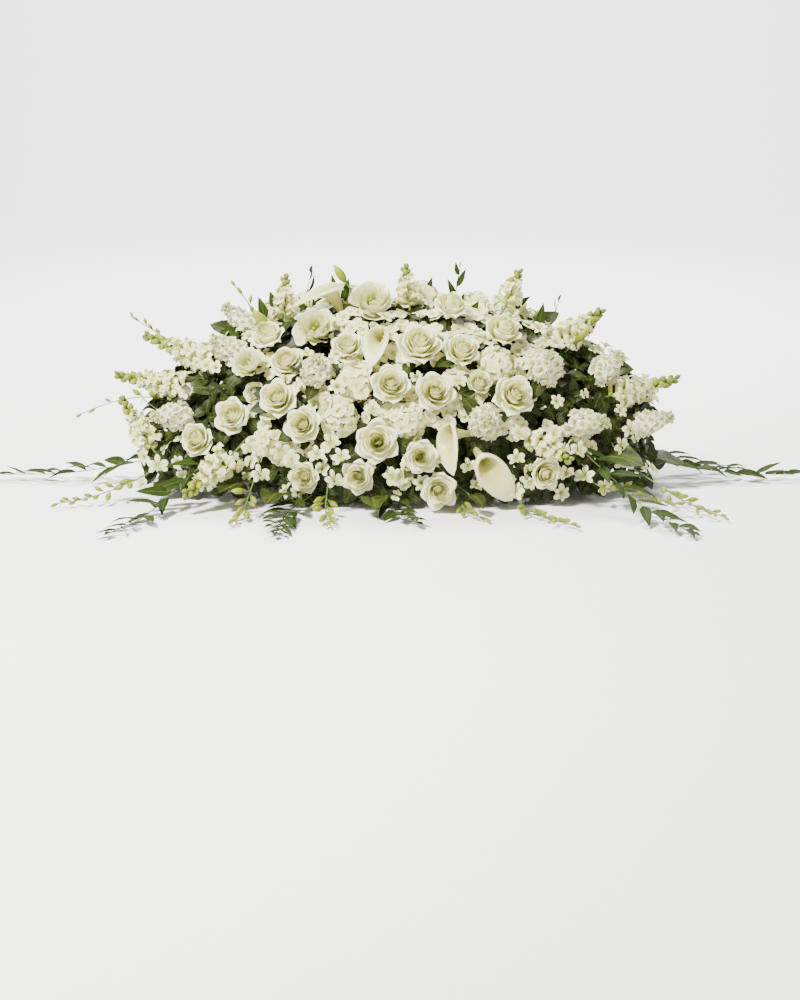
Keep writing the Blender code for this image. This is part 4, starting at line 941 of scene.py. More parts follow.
def lisianthus(rng, width):
    """A double lisianthus: a loose cup of thin ruffled petals round a green pistil."""
    bloom = Growth()
    reach, length = width / 2, width * HEAD_LENGTHS["lisianthus"]
    for number in range(LISIANTHUS_PETALS):
        s = number / (LISIANTHUS_PETALS - 1)
        loose = rng.normal(0, 0.04, 3)
        rim = reach * (0.34 + 0.67 * s**1.1) * (1 + loose[0])
        top = length * (0.86 + 0.14 * math.sin(math.pi * s) - 0.42 * s**3 + loose[1])
        path = (
            (reach * 0.06, length * 0.03),
            (reach * (0.34 + 0.44 * s), length * 0.06),
            (rim * (0.84 + 0.02 * s), top * (0.90 + 0.16 * s)),
            (rim, top),
        )
        form = {"fold": (0, length * 0.05), "lap": 0.08, "ripple": reach * 0.085, "waves": 5}
        spin = number * GOLDEN_ANGLE + rng.normal(0, 0.12)
        bloom.petal(rng, spin, 0.92 - 0.16 * s, path, 0.55 * (1 - s), shape=(10, 15), **form)
    heart = [Vector((0, 0, length * part)) for part in (0.03, 0.16, 0.34, 0.52)]
    bloom.sheet(rod(heart, [reach * part for part in (0.10, 0.13, 0.07, 0.05)], 8), (1, 0.7, 0.9), 1)
    for side in (-1, 1):
        place = (side * reach * 0.03, 0, length * 0.50)
        bloom.bead(drop(reach * 0.20, reach * 0.085, 8), place, (side * 0.75, 0.1, 0.65), (1, 0.9, 0.6), 1)
    for number in range(6):
        way = ring_way(math.tau * number / 6 + 0.3)
        foot, tip = UP * length * 0.10, way * reach * 0.21 + UP * length * 0.40
        line = bezier(foot, foot + way * reach * 0.15, tip - UP * length * 0.1, tip, 4)
        bloom.sheet(rod(line, 0.5 * MM, 4), (1, 0.8, 0.3), 1)
        bloom.bead(drop(4.5 * MM, 1.2 * MM, 6, 5), tip, way, (1, 1, 0.2), 2)
    return bloom


def rosette(rng):
    """A ruffled double floret of stock, 2 across on its foot, as arrays."""
    flower = Growth()
    for order, (count, reach, steep) in enumerate(STOCK_LAYERS):
        for number in range(count):
            far = reach * rng.uniform(0.90, 1.06)
            rise = steep + rng.normal(0, 0.05)
            path = (
                (0.03, 0.0),
                (0.30 * far, 0.02 + 0.25 * rise),
                (0.72 * far, 0.30 + 0.62 * rise),
                (far, 0.27 + 0.72 * rise - 0.18 * (1 - rise)),
            )
            spin = math.tau * (number + order * 0.5) / count + rng.normal(0, 0.12)
            inner = order / (len(STOCK_LAYERS) - 1) * 0.75
            half = math.pi / count * 1.12
            flower.petal(rng, spin, half, path, inner, dip=0.22, fold=(0, 0.05), ripple=0.13)
    return flower.whole()


def stock(rng, width, length):
    """A head of stock: ruffled double florets round a stem, smaller towards a tip of green buds."""
    bloom = Growth()
    florets = [rosette(rng) for _ in range(3)]
    bud = lobe(drop(1.0, 0.34, 7), (0.4, 0.8, 0.9))
    bloom.sheet(rod([UP * 0, UP * length * 0.86], [3 * MM, 2 * MM]), (0, 0.6, 1), 1)
    count = int(12 + length / width * 11)
    for number in range(count):
        t = (number + 0.5) / count
        around = ring_way(number * GOLDEN_ANGLE)
        tilt = 0.02 + 1.30 * t**1.5
        size = width * (0.225 - 0.085 * t) * rng.uniform(0.86, 1.12)
        way = around * math.cos(tilt) + UP * math.sin(tilt)
        way += Vector(rng.normal(0, 0.18, 3))
        body = (width / 2 - size * 0.50) * (1 - 0.55 * t**2.2) * rng.uniform(0.84, 1.0)
        place = around * body * math.cos(tilt * 0.8) + UP * length * (0.15 + 0.70 * t**1.1)
        place -= way * size * 0.35
        turn = facing(way, rng.uniform(0, 6))
        bloom.stamp(florets[rng.integers(3)], place, turn, size, rng.uniform(0, 9), (0, 0, 0.50 * t**3))
    for number in range(11):
        t = (number + 0.5) / 11
        around = ring_way(number * GOLDEN_ANGLE)
        way = around * (0.9 - 0.7 * t) + UP * (0.5 + 0.5 * t)
        place = around * width * 0.10 * (1 - t) + UP * length * (0.80 + 0.05 * t)
        size = min((14 - 5 * t) * MM, length * 0.15)
        bloom.stamp(bud, place, facing(way), size, number, (0, 0, 0.1 * t))
    return bloom


def hydrangea(rng, width):
    """A head of hydrangea: a dome of four-petalled florets, each with a bead in its middle."""
    bloom = Growth()
    reach, length = width / 2, width * HEAD_LENGTHS["hydrangea"]
    florets = [floret_of_four(rng) for _ in range(4)]
    bloom.sheet(rod([UP * 0, UP * length * 0.55], [3 * MM, 6 * MM]), (0, 0.5, 1), 1)
    for number in range(HYDRANGEA_FLORETS):
        t = (number + 0.5) / HYDRANGEA_FLORETS
        tilt = math.acos(1 - 1.42 * t)
        around = ring_way(number * GOLDEN_ANGLE)
        way = (around * math.sin(tilt) + UP * math.cos(tilt)).normalized()
        far = reach * (0.86 + rng.uniform(-0.14, 0.07))
        place = around * math.sin(tilt) * far + UP * (length * 0.52 + math.cos(tilt) * far * 0.78)
        look = way + Vector(rng.normal(0, 0.26, 3))
        size = reach * rng.uniform(0.33, 0.43)
        tone = (0, rng.uniform(-0.25, 0.1), rng.uniform(0.0, 0.45) ** 2 + 0.12 * t)
        turn = facing(look, rng.uniform(0, 6))
        bloom.stamp(florets[rng.integers(4)], place, turn, size, rng.uniform(0, 9), tone)
        if number % 2:
            foot = UP * length * 0.35 + way * reach * 0.2
            bloom.sheet(rod([foot, place], 0.9 * MM, 4), (0, 0.6, 1), 1)
    return bloom


def floret_of_four(rng):
    flower = Growth()
    for number in range(4):
        path = ((0.02, 0.0), (0.35, -0.04), (0.75, 0.24 + rng.normal(0, 0.05)), (1.02, 0.12))
        spin = math.tau * number / 4 + rng.normal(0, 0.07)
        flower.petal(rng, spin, 0.84, path, dip=0.24, fold=(0, 0.05), ripple=0.07, shape=(5, 6))
    flower.sheet(drop(0.16, 0.09, 4, 3), (1, 1, 0.3), ring=True)
    return flower.whole()


def calla(width, droop):
    """A calla: one sheet wound into a funnel, its lip rolled back and drawn to a long tip along X
    that droops, with the yellow spadix deep in its throat."""
    bloom = Growth()
    length = width * HEAD_LENGTHS["calla"]
    rows, columns = 34, 45
    u, v = np.meshgrid(np.linspace(-1, 1, columns), np.linspace(0, 1, rows))
    angle = u * (math.pi + 0.62 * (1 - v * 0.55))
    ahead = (1 + np.cos(angle)) / 2
    pull = 0.55 * ahead**3 + 0.45 * ahead**16
    radius, height = np.moveaxis(curved(((0.055, 0.0), (0.09, 0.55), (0.14, 0.90), (0.30, 1.0)), v), -1, 0)
    flare = v**2.6
    radius = radius * (1 + flare * (1.90 * pull - 0.08)) - 0.030 * np.abs(u) ** 6 + 0.007 * u
    side = np.abs(np.sin(angle))
    height = height + flare * (0.08 * side - droop * pull - 0.16 * (1 - ahead))
    lip = np.maximum(v - 0.86, 0) / 0.14
    height = height - 0.10 * lip**2 * (1 - pull * 0.4)
    tip = np.exp(-((u / 0.05) ** 2)) * v**12
    radius, height = radius + 0.15 * tip, height - 0.04 * tip
    # the inner face takes more of the heart colour: painted shade down the throat
    for thick, inner in ((0.0, 0.10), (1.1 * MM, 0.50)):
        reach = radius * width - thick * (1 - v**8)
        grid = np.dstack([reach * np.cos(angle), reach * np.sin(angle), height * length + thick * v**4])
        bloom.sheet(grid, (inner, 0.95, 0), seed=1.0)
    spadix = [UP * length * part for part in (0.26, 0.36, 0.46, 0.52, 0.56, 0.58)]
    thick = [part * MM for part in (2.4, 3.0, 3.0, 2.7, 1.8, 0.3)]
    bloom.sheet(rod(spadix, thick, 10), (0, 1, 0), 1, ring=True)
    stem = [UP * length * part for part in (0.0, 0.10, 0.30)]
    bloom.sheet(rod(stem, [5.2 * MM, 5.0 * MM, 2.0 * MM], 12), (0, 0.8, 0), 2, ring=True)
    return bloom


def snapdragon_floret(rng, opened):
    """A snapdragon flower 1 long from its foot: a tube, two ruffled lips and a full palate."""
    flower = Growth()
    t = np.linspace(0, 1, 4)
    reach = 0.09 + 0.13 * np.sin(np.minimum(t * 1.2, 1) * math.pi / 2)
    flower.sheet(turned(reach, t * 0.62, 8), (0.2, 0.8, 0.35 - 0.25 * opened), ring=True)
    form = {"dip": 0.18, "fold": (0, 0.06), "ripple": 0.07, "waves": 4, "shape": (5, 6)}
    for spin, half, far, droop in LIPS:
        wide = far * (0.35 + 0.65 * opened)
        path = ((0.12, 0.50), (0.20, 0.72), (0.26 + 0.30 * wide, 0.92), (0.22 + wide, 0.90 - droop * opened))
        flower.petal(rng, spin, half, path, 0.1, 0.7, 0.12 * (1 - opened), **form)
    flower.bead(drop(0.30, 0.15, 6, 5), (0.14, 0, 0.58), (0.35, 0, 1), (0.95, 0.9, 0.05))
    return flower.whole()


def snapdragon(rng, foot, tip, width, line):
    """A snapdragon spike: open flowers at its foot, closing to green buds at its tip."""
    spike = Growth()
    along = tip - foot
    ahead = along.normalized()
    side = ahead.orthogonal().normalized()
    inside = [foot + along * part for part in (0.3, 0.6, 0.97)]
    radii = [2.6 * MM] * len(line) + [2.3 * MM, 1.8 * MM, 0.8 * MM]
    spike.sheet(rod(line + inside, radii), (0, 0.6, 1), 1, ring=True)
    flowers = [snapdragon_floret(rng, opened) for opened in (1.0, 0.75, 0.4)]
    bud = lobe(drop(0.92, 0.30, 8, 6), (0, 0.8, 0), 2)
    cup = lobe(drop(0.5, 0.26, 5, 4), (0, 0.6, 1), 1)
    count = int(along.length / 5.8 / MM)
    for number in range(count):
        t = (number + 0.5) / count
        around = Matrix.Rotation(number * GOLDEN_ANGLE, 3, ahead) @ side
        size = width * (0.80 - 0.44 * t**1.15)
        way = (around * (1.0 - 0.35 * t) + ahead * (0.35 + 0.9 * t)).normalized()
        place = foot + along * (0.03 + 0.93 * t) + around * 1.5 * MM
        turn = facing_down(way, ahead)
        if t < 0.58:
            flower = flowers[0 if t < 0.26 else 1 if t < 0.44 else 2]
            spike.stamp(flower, place, turn, size, rng.uniform(0, 9), (0, 0, 0.4 * t**2))
        else:
            tone = (0, 0, min(2.1 * (t - 0.55), 1))
            spike.stamp(bud, place, turn, size * 0.95, rng.uniform(0, 9), tone)
        spike.stamp(cup, place, turn, size * 0.42)
    return spike


def orchid_floret(rng):
    """A dendrobium flower, 1 from its middle to its rim: three sepals, two broad petals and a lip."""
    flower = Growth()
    form = {"dip": 0.42, "point": 1.5, "fold": (0, 0.05), "ripple": 0.05, "waves": 2, "shape": (7, 7)}
    for number, (spin, half, far) in enumerate(ORCHID_PARTS):
        rise = 0.12 + 0.06 * (number % 2) + rng.normal(0, 0.03)
        path = ((0.03, 0.0), (0.30, 0.10), (0.70 * far, rise + 0.10), (far, rise - 0.08))
        flower.petal(rng, spin, half, path, lit=0.7, **form)
    path = ((0.04, 0.05), (0.10, 0.42), (0.36, 0.46), (0.50, 0.22))
    lip = petal(rng, -math.pi / 2, 0.85, path, dip=0.15, fold=(0, 0.02), ripple=0.05, waves=4, shape=(7, 9))
    flower.sheet(lip, (1.0, 0.9, 0), seed=4.0)
    flower.bead(drop(0.30, 0.09, 7, 5), (0, 0.02, 0.05), (0, 0.15, 1), (0.8, 1, 0.15))
    return flower.whole()


def orchid_bud(rng):
    """A dendrobium bud, 1 long, on a bent stalk, with the spur behind it."""
    bud = Growth()
    stalk = [Vector(p) for p in ((0, 0, 0), (0, 0.02, 0.25), (0, 0.10, 0.45))]
    bud.sheet(rod(stalk, [0.035, 0.03, 0.04], 5), (0, 0.7, 1), 1, ring=True)
    slim = rng.uniform(0.17, 0.21)
    bud.bead(drop(0.86, slim, 8, 8, 0.8), (0, 0.08, 0.34), (0, 0.30, 1), (0, 0.9, 0.15), 1)
    bud.bead(drop(0.26, 0.09, 7, 5), (0, 0.14, 0.46), (0, -0.3, -1), (0, 0.7, 0.8), 1)
    return bud.whole()


def lily_floret(rng):
    """An alstroemeria flower, 1 from its middle to its rim: three broad and three narrow petals in
    an open funnel, with stamens."""
    flower = Growth()
    for number in range(6):
        half, far, rise, inner = (0.62, 1.0, 0.42, 0.40) if number % 2 else (0.46, 0.90, 0.50, 0.15)
        rise += rng.normal(0, 0.05)
        path = ((0.06, 0.0), (0.14, 0.40), (0.46, rise + 0.30), (far, rise))
        spin = math.tau * number / 6 + rng.normal(0, 0.06)
        form = {"dip": 0.30, "point": 1.9, "ripple": 0.04, "waves": 2, "shape": (6, 5)}
        flower.petal(rng, spin, half, path, inner, 0.65, **form)
    for number in range(4):
        tip = ring_way(math.tau * number / 4 + 0.4) * 0.26 + UP * 0.62
        line = bezier(UP * 0.05, UP * 0.3, tip * 0.8, tip, 4)
        flower.sheet(rod(line, 0.018, 4), (0.9, 1, 0.1), ring=True)
    return flower.whole()


def in_foam(place):
    """Whether a place is in the foam, in its tray or in the free space under it."""
    half_length, front, top = (size + FOAM_SPARE for size in (FOAM_HALF_LENGTH, FOAM_FRONT, FOAM_TOP))
    return abs(place.x) < half_length and abs(place.y) < front and place.z < top


def bunch_at(place):
    """The greenery bunch that grows round a place."""
    if place.y > BACK_FROM:
        return "greenery_back"
    if abs(place.x) < FRONT_REACH and place.z < FRONT_RISE:
        return "greenery_front"
    return "greenery_left" if place.x < 0 else "greenery_right"


class Bunch:
    """The stems gathered on one pick, and the piece that they grow into."""

    def __init__(self, name):
        face, x, other = PICKS[name]
        self.out = FACES[face]
        if face == "top":
            mouth = Vector((x, other, 0)) * MM + UP * FOAM_TOP
        else:
            mouth = Vector((x, 0, other)) * MM + self.out * FOAM_FRONT
        self.knot = mouth + self.out * KNOT_RISE
        self.rng = np.random.default_rng(len(name) * 31 + abs(x))  # draws that no other bunch shares
        self.growth = Growth()
        pick = [mouth + self.out * part * MM for part in (-44, -30, 0, 4, 16)]
        self.rod(pick, [part * MM for part in (1, 6, 6, 9, 6)], (0, 0.4, 0))

    def rod(self, line, radii, tone=(0, 0.6, 0)):
        self.growth.sheet(rod(line, radii), tone, STEM, ring=True, seed=self.rng.uniform(0, 9))

    def route(self, place, way):
        """A stem's line from the knot that arrives at a place along a way."""
        chord = place - self.knot
        lead = min(0.35 * chord.length, STEM_LEAD)
        away = (chord.normalized() + self.out * 0.7).normalized()
        root = self.knot + away * PICK_RADIUS * 0.7
        return bezier(root, self.knot + away * lead, place - way * lead, place, 10)

    def stem_through(self, points, thick, thinning, tone):
        """A stem from the knot, half outwards at first, through points in millimetres."""
        places = [Vector(point) * MM for point in points]
        away = (places[0] - self.knot).normalized() + self.out
        line = smooth([self.knot, self.knot + away.normalized() * PICK_LEAD, *places], 6)
        self.rod(line, [STEM_RADIUS * (thick - thinning * n / len(line)) for n in range(len(line))], tone)
        return line

    def leaf(self, foot, tip, face, width, kind, shade=0.0):
        """A leaf from its foot to its tip."""
        rng, along = self.rng, tip - foot
        peak, fold, arch, wave, point, shape = LEAF_KINDS[kind]
        fold, arch = fold + rng.normal(0, 0.04), arch + rng.normal(0, 0.03)
        made = blade(along.length, width, peak, fold, arch, wave, point, shape, rng.uniform(0, 6))
        part = Growth()
        coat = RUSCUS_COAT if kind == "ruscus" else SALAL_COAT
        part.sheet(made, (0, np.clip(0.5 + shade + rng.normal(0, 0.18), 0, 1), 0), coat)
        self.growth.stamp(part.whole(), foot, along_x(along, face), 1.0, rng.uniform(0, 9))

    def carry(self, head):
        """The stem, calyx and leaves of a head."""
        rng, ahead, seat = self.rng, head.facing, head.foot()
        line = self.route(seat - ahead * 8 * MM, ahead)
        self.rod([*line, seat], [2.8 * MM] * len(line) + [5.5 * MM])
        if head.kind == "calla":
            return
        self.growth.bead(drop(17 * MM, 7.5 * MM, 10), seat - ahead * 9 * MM, ahead, (0, 0.6, 0), STEM)
        side = ahead.orthogonal().normalized()
        for number in range(CALYX_TIPS):
            around = Matrix.Rotation(math.tau * number / CALYX_TIPS, 3, ahead) @ side
            way = (around + ahead * rng.uniform(-0.5, 0.6)).normalized()
            foot = seat + around * 4 * MM
            self.leaf(foot, foot + way * head.width * 0.30, ahead, 7 * MM, "ruscus", 0.3)
        for number in range(COLLAR_LEAVES):
            spin = math.tau * (number + rng.uniform(-0.3, 0.3)) / COLLAR_LEAVES
            around = Matrix.Rotation(spin, 3, ahead) @ side
            way = (around + ahead * rng.uniform(-0.25, 0.35)).normalized()
            foot = line[-1 - number % 3] + around * 3 * MM
            tip = foot + way * (head.width * 0.42 + rng.uniform(22, 44) * MM)
            if tip.z > 8 * MM and not in_foam(tip) and not in_foam(foot):
                self.leaf(foot, tip, ahead, rng.uniform(26, 38) * MM, "rose", -0.1)

    def strand(self, points, pairs):
        """A ruscus strand: lance leaves by turns on both sides of an arching stem."""
        rng = self.rng
        line = self.stem_through(points, 0.85, 0.55, (0, 0.9, 0))
        count = int(pairs * RUSCUS_LEAVES)
        leaf = RUSCUS_LEAF * (0.6 if pairs < SHORT_STRAND else 1)
        for number in range(count):
            share = 0.30 + 0.69 * (number + 0.5) / count
            rib, along, across, up = rib_frame(line, share)
            side = 1 if number % 2 else -1
            turn = rng.normal(0.25, 0.35)
            spread = 0.78 - 0.35 * share + rng.normal(0, 0.10)
            out = across * side * math.cos(turn) + up * math.sin(turn)
            way = along * math.cos(spread) + out * math.sin(spread)
            length = leaf * (0.78 + 0.45 * math.sin(math.pi * min(number / count, 0.97)))
            tip = rib + way * length * rng.uniform(0.9, 1.15)
            tip.z = max(tip.z, 3 * MM)
            self.leaf(rib, tip, up + Vector(rng.normal(0, 0.25, 3)), length * 0.33, "ruscus")
        tip = line[-1] + (line[-1] - line[-2]).normalized() * leaf * 0.5
        tip.z = max(tip.z, 5 * MM)
        self.leaf(line[-1], tip, UP, 15 * MM, "ruscus")

    def blade_of(self, foot, tip, face, width):
        """A salal leaf on its stalk."""
        foot, tip = raised(foot), raised(tip)
        line = self.route(foot, (tip - foot).normalized())
        self.rod([*line, foot.lerp(tip, 0.2)], [1.5 * MM] * len(line) + [1 * MM], (0, 0.8, 0))
        self.leaf(foot, tip, Vector(face), width * MM, "salal", 0.1)

    def arch(self, points, flowers, pairs, florets, buds):
        """An orchid spray: open flowers where it leaves the mound, buds by turns out to its tip."""
        rng = self.rng
        line = self.stem_through(points, 0.90, 0.50, (0, 0.9, 0.6))
        first_bud = ORCHID_BARE + ORCHID_STEP * flowers
        for number in range(flowers):
            root, along = at_share(line, ORCHID_BARE + ORCHID_STEP * number)
            side = along.cross(UP).normalized() * (0.7 if number % 2 else -0.7)
            look = (side + UP * 0.6 + FRONT * 0.5 + along * 0.2).normalized()
            place = root + look * ORCHID_STALK
            place.z = max(place.z, 20 * MM)
            self.rod(bezier(root, root + along * 6 * MM, place - look * 8 * MM, place, 4), 1.1 * MM)
            floret, seed = florets[rng.integers(len(florets))], rng.uniform(0, 9)
            self.growth.stamp(floret, place, lip_down(look), ORCHID_RADIUS, seed, shift=FLOWER_COAT)
        count = pairs * 2 + 3
        for number in range(count):
            t = number / (count - 1)
            root, along, across, up = rib_frame(line, first_bud + (0.985 - first_bud) * t)
            side = 1 if number % 2 else -1
            way = across * side * (0.75 - 0.45 * t) + along * (0.55 + 0.5 * t) + up * rng.uniform(-0.1, 0.4)
            size = ORCHID_BUD * (1.18 - 0.56 * t) * rng.uniform(0.85, 1.15)
            if (root + way.normalized() * size).z < 5 * MM:
                way.z = abs(way.z) + 0.15
            bud = buds[rng.integers(len(buds))]
            turn, seed = facing(way, rng.uniform(0, 6)), rng.uniform(0, 9)
            self.growth.stamp(bud, root, turn, size, seed, (0, 0, rng.uniform(-0.1, 0.2)), FLOWER_COAT)


def grow_head(head, rng, bunches):
    """A head's bloom, as a piece of its own or on its bunch, and the stem that carries it."""
    look = LOOKS.get(head.name)
    if head.kind == "rose":
        opened = SPRAY_ROSE_OPENED if head.width < SPRAY_ROSE_WIDTH else rng.uniform(0.80, 1.0)
        bloom = rose(rng, head.width, opened)
    elif head.kind == "lisianthus":
        bloom = lisianthus(rng, head.width)
    elif head.kind == "stock":
        bloom = stock(rng, head.width, head.length)
    elif head.kind == "hydrangea":
        bloom = hydrangea(rng, head.width)
    else:
        look, lip, shift, droop = CALLA_LOOKS[head.name]
        head.middle += Vector(shift) * MM
        bloom = calla(head.width * CALLA_GROWTH, droop)
    if look:
        head.facing = Vector(look).normalized()
    turn = facing(head.facing, rng.uniform(0, math.tau))
    if head.kind == "calla":
        across = head.facing.cross(Vector(lip)).normalized()
        turn = axes(across.cross(head.facing), across, head.facing)
    if head.kind in BLOOM_COATS:
        placed = Growth()
        placed.stamp(bloom.whole(), head.foot(), turn)
        placed.piece(f"{head.name}_bloom", BLOOM_COATS[head.kind], f"{head.kind}_petal", [head.name])
        bunches[bunch_at(head.middle)].carry(head)
    else:
        bunch = bunches[f"{head.kind}s"]
        bunch.carry(head)
        bunch.growth.stamp(bloom.whole(), head.foot(), turn, shift=FLOWER_COAT)


def clear_of(place, heads):
    """How far a place is outside the balls of the nearest head."""
    return min((place - middle).length - radius for head in heads for middle, radius in head.balls())


def even_points(count):
    """Points spread evenly over the mound: x, a height and a depth in front or behind."""
    for number in range(count):
        a, b = ((0.5 + step * number) % 1 for step in GOLDEN_STEPS)
        x = (2 * a - 1) * 0.90 * MOUND_HALF_LENGTH
        most = MOUND_HEIGHT * math.sqrt(max(1 - (x / MOUND_HALF_LENGTH) ** 2, 0))
        height = most * math.sin((0.01 + 0.985 * b) * math.pi / 2)
        yield x, height, -MOUND_HALF_DEPTH if number % 3 else MOUND_BACK_DEPTH


def grow_inside(bunches, rng):
    """Leaves inside the mound, painted dark as painted shade, which close the gaps between the heads."""
    for number, (x, height, depth) in enumerate(even_points(INNER_LEAVES)):
        place, out = on_shell(x, height, depth, rng.uniform(0.66, 0.86))
        way = (round_way(out, rng.uniform(0, math.tau)) + out * rng.uniform(0.1, 0.7)).normalized()
        length = rng.uniform(55, 88) * MM
        foot, tip = place - way * length / 2, place + way * length / 2
        if min(foot.z, tip.z) < 10 * MM or any(in_foam(spot) for spot in (foot, tip, place)):
            continue
        kind, slim = ("inner", 0.62) if number % 3 else ("ruscus", 0.30)
        # their low tone, -0.45, paints them dark: painted shade inside the mound
        bunches[bunch_at(place)].leaf(foot, tip, out, length * slim, kind, -0.45)


def fill_gaps(bunches, loose, florets, clusters, fours, heads, rng):
    """Florets in the gaps that the heads leave, closest in the middle, and leaves behind them, painted darker
    as painted shade in the gaps.
    """
    taken = []
    for x, height, depth in even_points(GAP_TRIES):
        place, out = on_shell(x, height, depth, 0.94)
        crowd = min([(place - other).length for other in taken], default=1)
        if clear_of(place, heads) < 0 or crowd < GAP_APART or place.z < 18 * MM or in_foam(place):
            continue
        taken.append(place)
        start = rng.uniform(0, math.tau)
        for number in range(3):
            aside = round_way(out, start + number * 2.1 + rng.normal(0, 0.3))
            way = (aside + out * rng.uniform(0.1, 0.6)).normalized()
            length = rng.uniform(34, 58) * MM
            foot = place - out * 36 * MM
            tip = foot + way * length
            if tip.z > 6 * MM:
                # a low tone paints these leaves darker: painted shade in the gaps
                shade = rng.uniform(-0.4, -0.1)
                bunches[bunch_at(place)].leaf(foot, tip, out, length * 0.50, "rose", shade)
        middle = max(0, 1 - (x / 0.50) ** 2) * min(1, height / 0.20) * (1 - 0.6 * max(0, out.z - 0.55))
        if rng.uniform() < middle * 0.56:
            for number in range(4):
                aside = round_way(out, start + number * GOLDEN_ANGLE) * 15 * MM * math.sqrt(number)
                spot = place + aside - out * (8 + number * 3) * MM
                set_floret(clusters, fours, spot, out + aside * 14, rng.uniform(14, 18) * MM, rng)
        elif rng.uniform() < 0.26:
            spot = place + out * rng.uniform(-8, 6) * MM
            set_floret(loose, florets, spot, out, rng.uniform(17, 23) * MM, rng)


def set_floret(loose, florets, place, out, size, rng):
    """An open floret on a short stalk, its lip down."""
    look = (out + Vector(rng.normal(0, 0.22, 3))).normalized()
    turn = lip_down(look) @ np.array(Matrix.Rotation(rng.normal(0, 0.5), 3, "Z"))
    stalk = bezier(place - look * 45 * MM, place - look * 30 * MM, place - look * 12 * MM, place, 5)
    loose.sheet(rod(stalk, 1.2 * MM, 5), (0, 0.7, 0), 1, ring=True)
    loose.stamp(florets[rng.integers(len(florets))], place, turn, size, rng.uniform(0, 9))


def set_light(name, place, target, size, power, colour):
    lamp = bpy.data.lights.new(name, "AREA")
    lamp.shape = "DISK"
    lamp.size = size
    lamp.energy = power
    lamp.color = colour
    thing = bpy.data.objects.new(name, lamp)
    thing.location = place
    thing.rotation_euler = (Vector(target) - Vector(place)).to_track_quat("-Z", "Y").to_euler()
    bpy.context.scene.collection.objects.link(thing)


def set_stage():
    """The camera, the light and a plain pale floor that rises to a backdrop far behind."""
    away = Vector((0, -math.cos(CAMERA_RISE), math.sin(CAMERA_RISE)))
    camera = bpy.data.objects.new("camera", bpy.data.cameras.new("camera"))
    camera.data.lens = CAMERA_LENS
    camera.data.clip_end = 200
    camera.location = Vector(CAMERA_TARGET) + away * CAMERA_DISTANCE
    camera.rotation_euler = (-away).to_track_quat("-Z", "Y").to_euler()
    bpy.context.scene.collection.objects.link(camera)
    bpy.context.scene.camera = camera

    world = bpy.data.worlds.new("studio")
    world.use_nodes = True
    bpy.context.scene.world = world
    background = world.node_tree.nodes["Background"].inputs
    background["Color"].default_value = WORLD_COLOUR
    background["Strength"].default_value = WORLD_STRENGTH
    for light in LIGHTS:
        set_light(*light)

    turns = [math.radians(90 * step / 12) for step in range(13)]
    bend = [(math.sin(turn) * BACKDROP_BEND, (1 - math.cos(turn)) * BACKDROP_BEND) for turn in turns]
    rise = [(-FLOOR_REACH, 0), *((FLOOR_BACK + y, z) for y, z in bend)]
    rise.append((FLOOR_BACK + BACKDROP_BEND, BACKDROP_HEIGHT))
    mesh = bpy.data.meshes.new("floor")
    corners = [(x, y, z) for y, z in rise for x in (-FLOOR_REACH, FLOOR_REACH)]
    mesh.from_pydata(corners, [], [(n, n + 1, n + 3, n + 2) for n in range(0, len(corners) - 2, 2)])
    mesh.shade_smooth()
    paint = Paint("pale floor")
    values = {"Base Color": FLOOR_COLOUR, "Roughness": 0.8}
    mesh.materials.append(paint.finish(paint.node("ShaderNodeBsdfPrincipled", values=values)))
    floor = bpy.data.objects.new("floor", mesh)
    bpy.context.scene.collection.objects.link(floor)


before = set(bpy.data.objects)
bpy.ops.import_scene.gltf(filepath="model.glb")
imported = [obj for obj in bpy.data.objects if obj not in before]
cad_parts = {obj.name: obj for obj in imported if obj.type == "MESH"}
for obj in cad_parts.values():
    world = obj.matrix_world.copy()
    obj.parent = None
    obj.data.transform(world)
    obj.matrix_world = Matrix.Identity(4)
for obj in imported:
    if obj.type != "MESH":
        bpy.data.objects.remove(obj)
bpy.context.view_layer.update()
paints = {name: petal_paint(name, *colours, *rest) for name, (colours, rest) in PETALS.items()}
paints |= {name: stem_paint(name, *row) for name, row in STEMS.items()}
paints |= {name: leaf_paint(name, *row) for name, row in LEAVES.items()}
heads = all_heads()
rng = np.random.default_rng(SEED)
bunches = {name: Bunch(name) for name in PICKS}

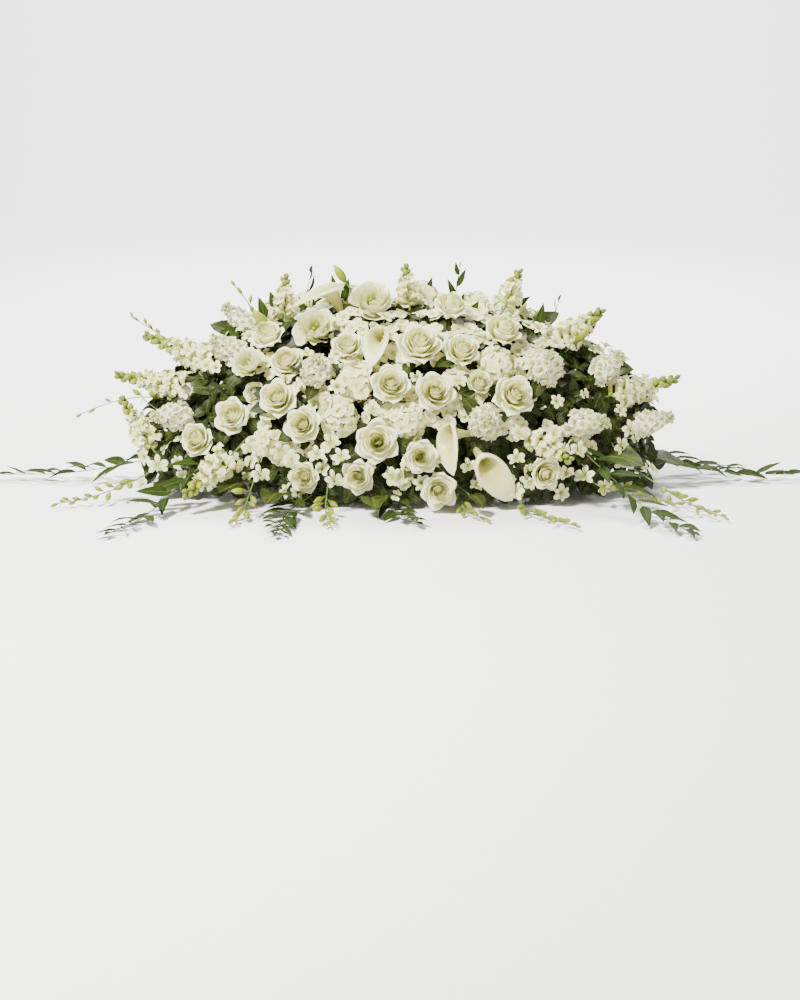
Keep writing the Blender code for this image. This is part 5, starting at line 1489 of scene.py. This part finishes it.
for order, head in enumerate(heads):
    grow_head(head, np.random.default_rng(SEED + order), bunches)
orchid_florets = [orchid_floret(rng) for _ in range(5)]
lily_florets = [lily_floret(rng) for _ in range(5)]
orchid_buds = [orchid_bud(rng) for _ in range(4)]
for part, sprays in ORCHIDS.items():
    for points, flowers, pairs in sprays:
        bunches[f"orchids_{part}"].arch(points, flowers, pairs, orchid_florets, orchid_buds)
for part, strands in RUSCUS.items():
    for points, pairs in strands:
        bunches[f"greenery_{part}"].strand(points, pairs)
for part, leaves in SALAL.items():
    for foot, tip, face, width in leaves:
        bunches[f"greenery_{part}"].blade_of(foot, tip, face, width)
for foot, tip, width in TOP_LEAVES:
    foot, tip = raised(foot), raised(tip)
    bunches[bunch_at(foot)].leaf(foot, tip, FRONT + UP * 0.3, width * MM, "ruscus", 0.1)
for part, spikes in SNAPDRAGONS.items():
    bunch = bunches[f"snapdragons_{part}"]
    for foot, tip, width in spikes:
        foot, tip = raised(foot), raised(tip)
        line = bunch.route(foot, (tip - foot).normalized())
        spike = snapdragon(bunch.rng, foot, tip, width * MM, line)
        bunch.growth.stamp(spike.whole(), (0, 0, 0), np.eye(3), shift=FLOWER_COAT)

loose, clusters = Growth(), Growth()
four_florets = [floret_of_four(rng) for _ in range(4)]
for place, out, radius in mound_spots(*FLORETS):
    set_floret(loose, orchid_florets, place, out, radius, rng)
for foot, tip in LILY_BUDS:
    foot, tip = raised(foot), raised(tip)
    way = tip - foot
    loose.sheet(rod([foot - way * 1.2, foot + way * 0.1], [1.6 * MM, 2.0 * MM]), (0, 0.7, 0), 1, ring=True)
    loose.bead(drop(1.0, 0.20, 12, 12, 0.9), foot, way, (0, 0.9, 0.15), 2, way.length)
grow_inside(bunches, rng)
open_florets = lily_florets + orchid_florets[:2] + [snapdragon_floret(rng, 1.0) for _ in range(3)]
fill_gaps(bunches, loose, open_florets, clusters, four_florets, heads, rng)

for name, bunch in bunches.items():
    slot, coats = BUNCH_FLOWERS[name.split("_")[0]]
    bunch.growth.piece(f"{name}_bunch", GREENS + coats, slot, [name])
loose.piece("loose_florets", ["orchid petal", "green stem", "orchid bud"], "orchid")
clusters.piece("loose_hydrangea", ["hydrangea petal", "green stem"], "hydrangea")
for name, paint in (("foam_block", foam_paint()), ("saddle", saddle_paint())):
    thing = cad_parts[name]
    thing.data.materials.clear()
    thing.data.materials.append(paint)

set_stage()
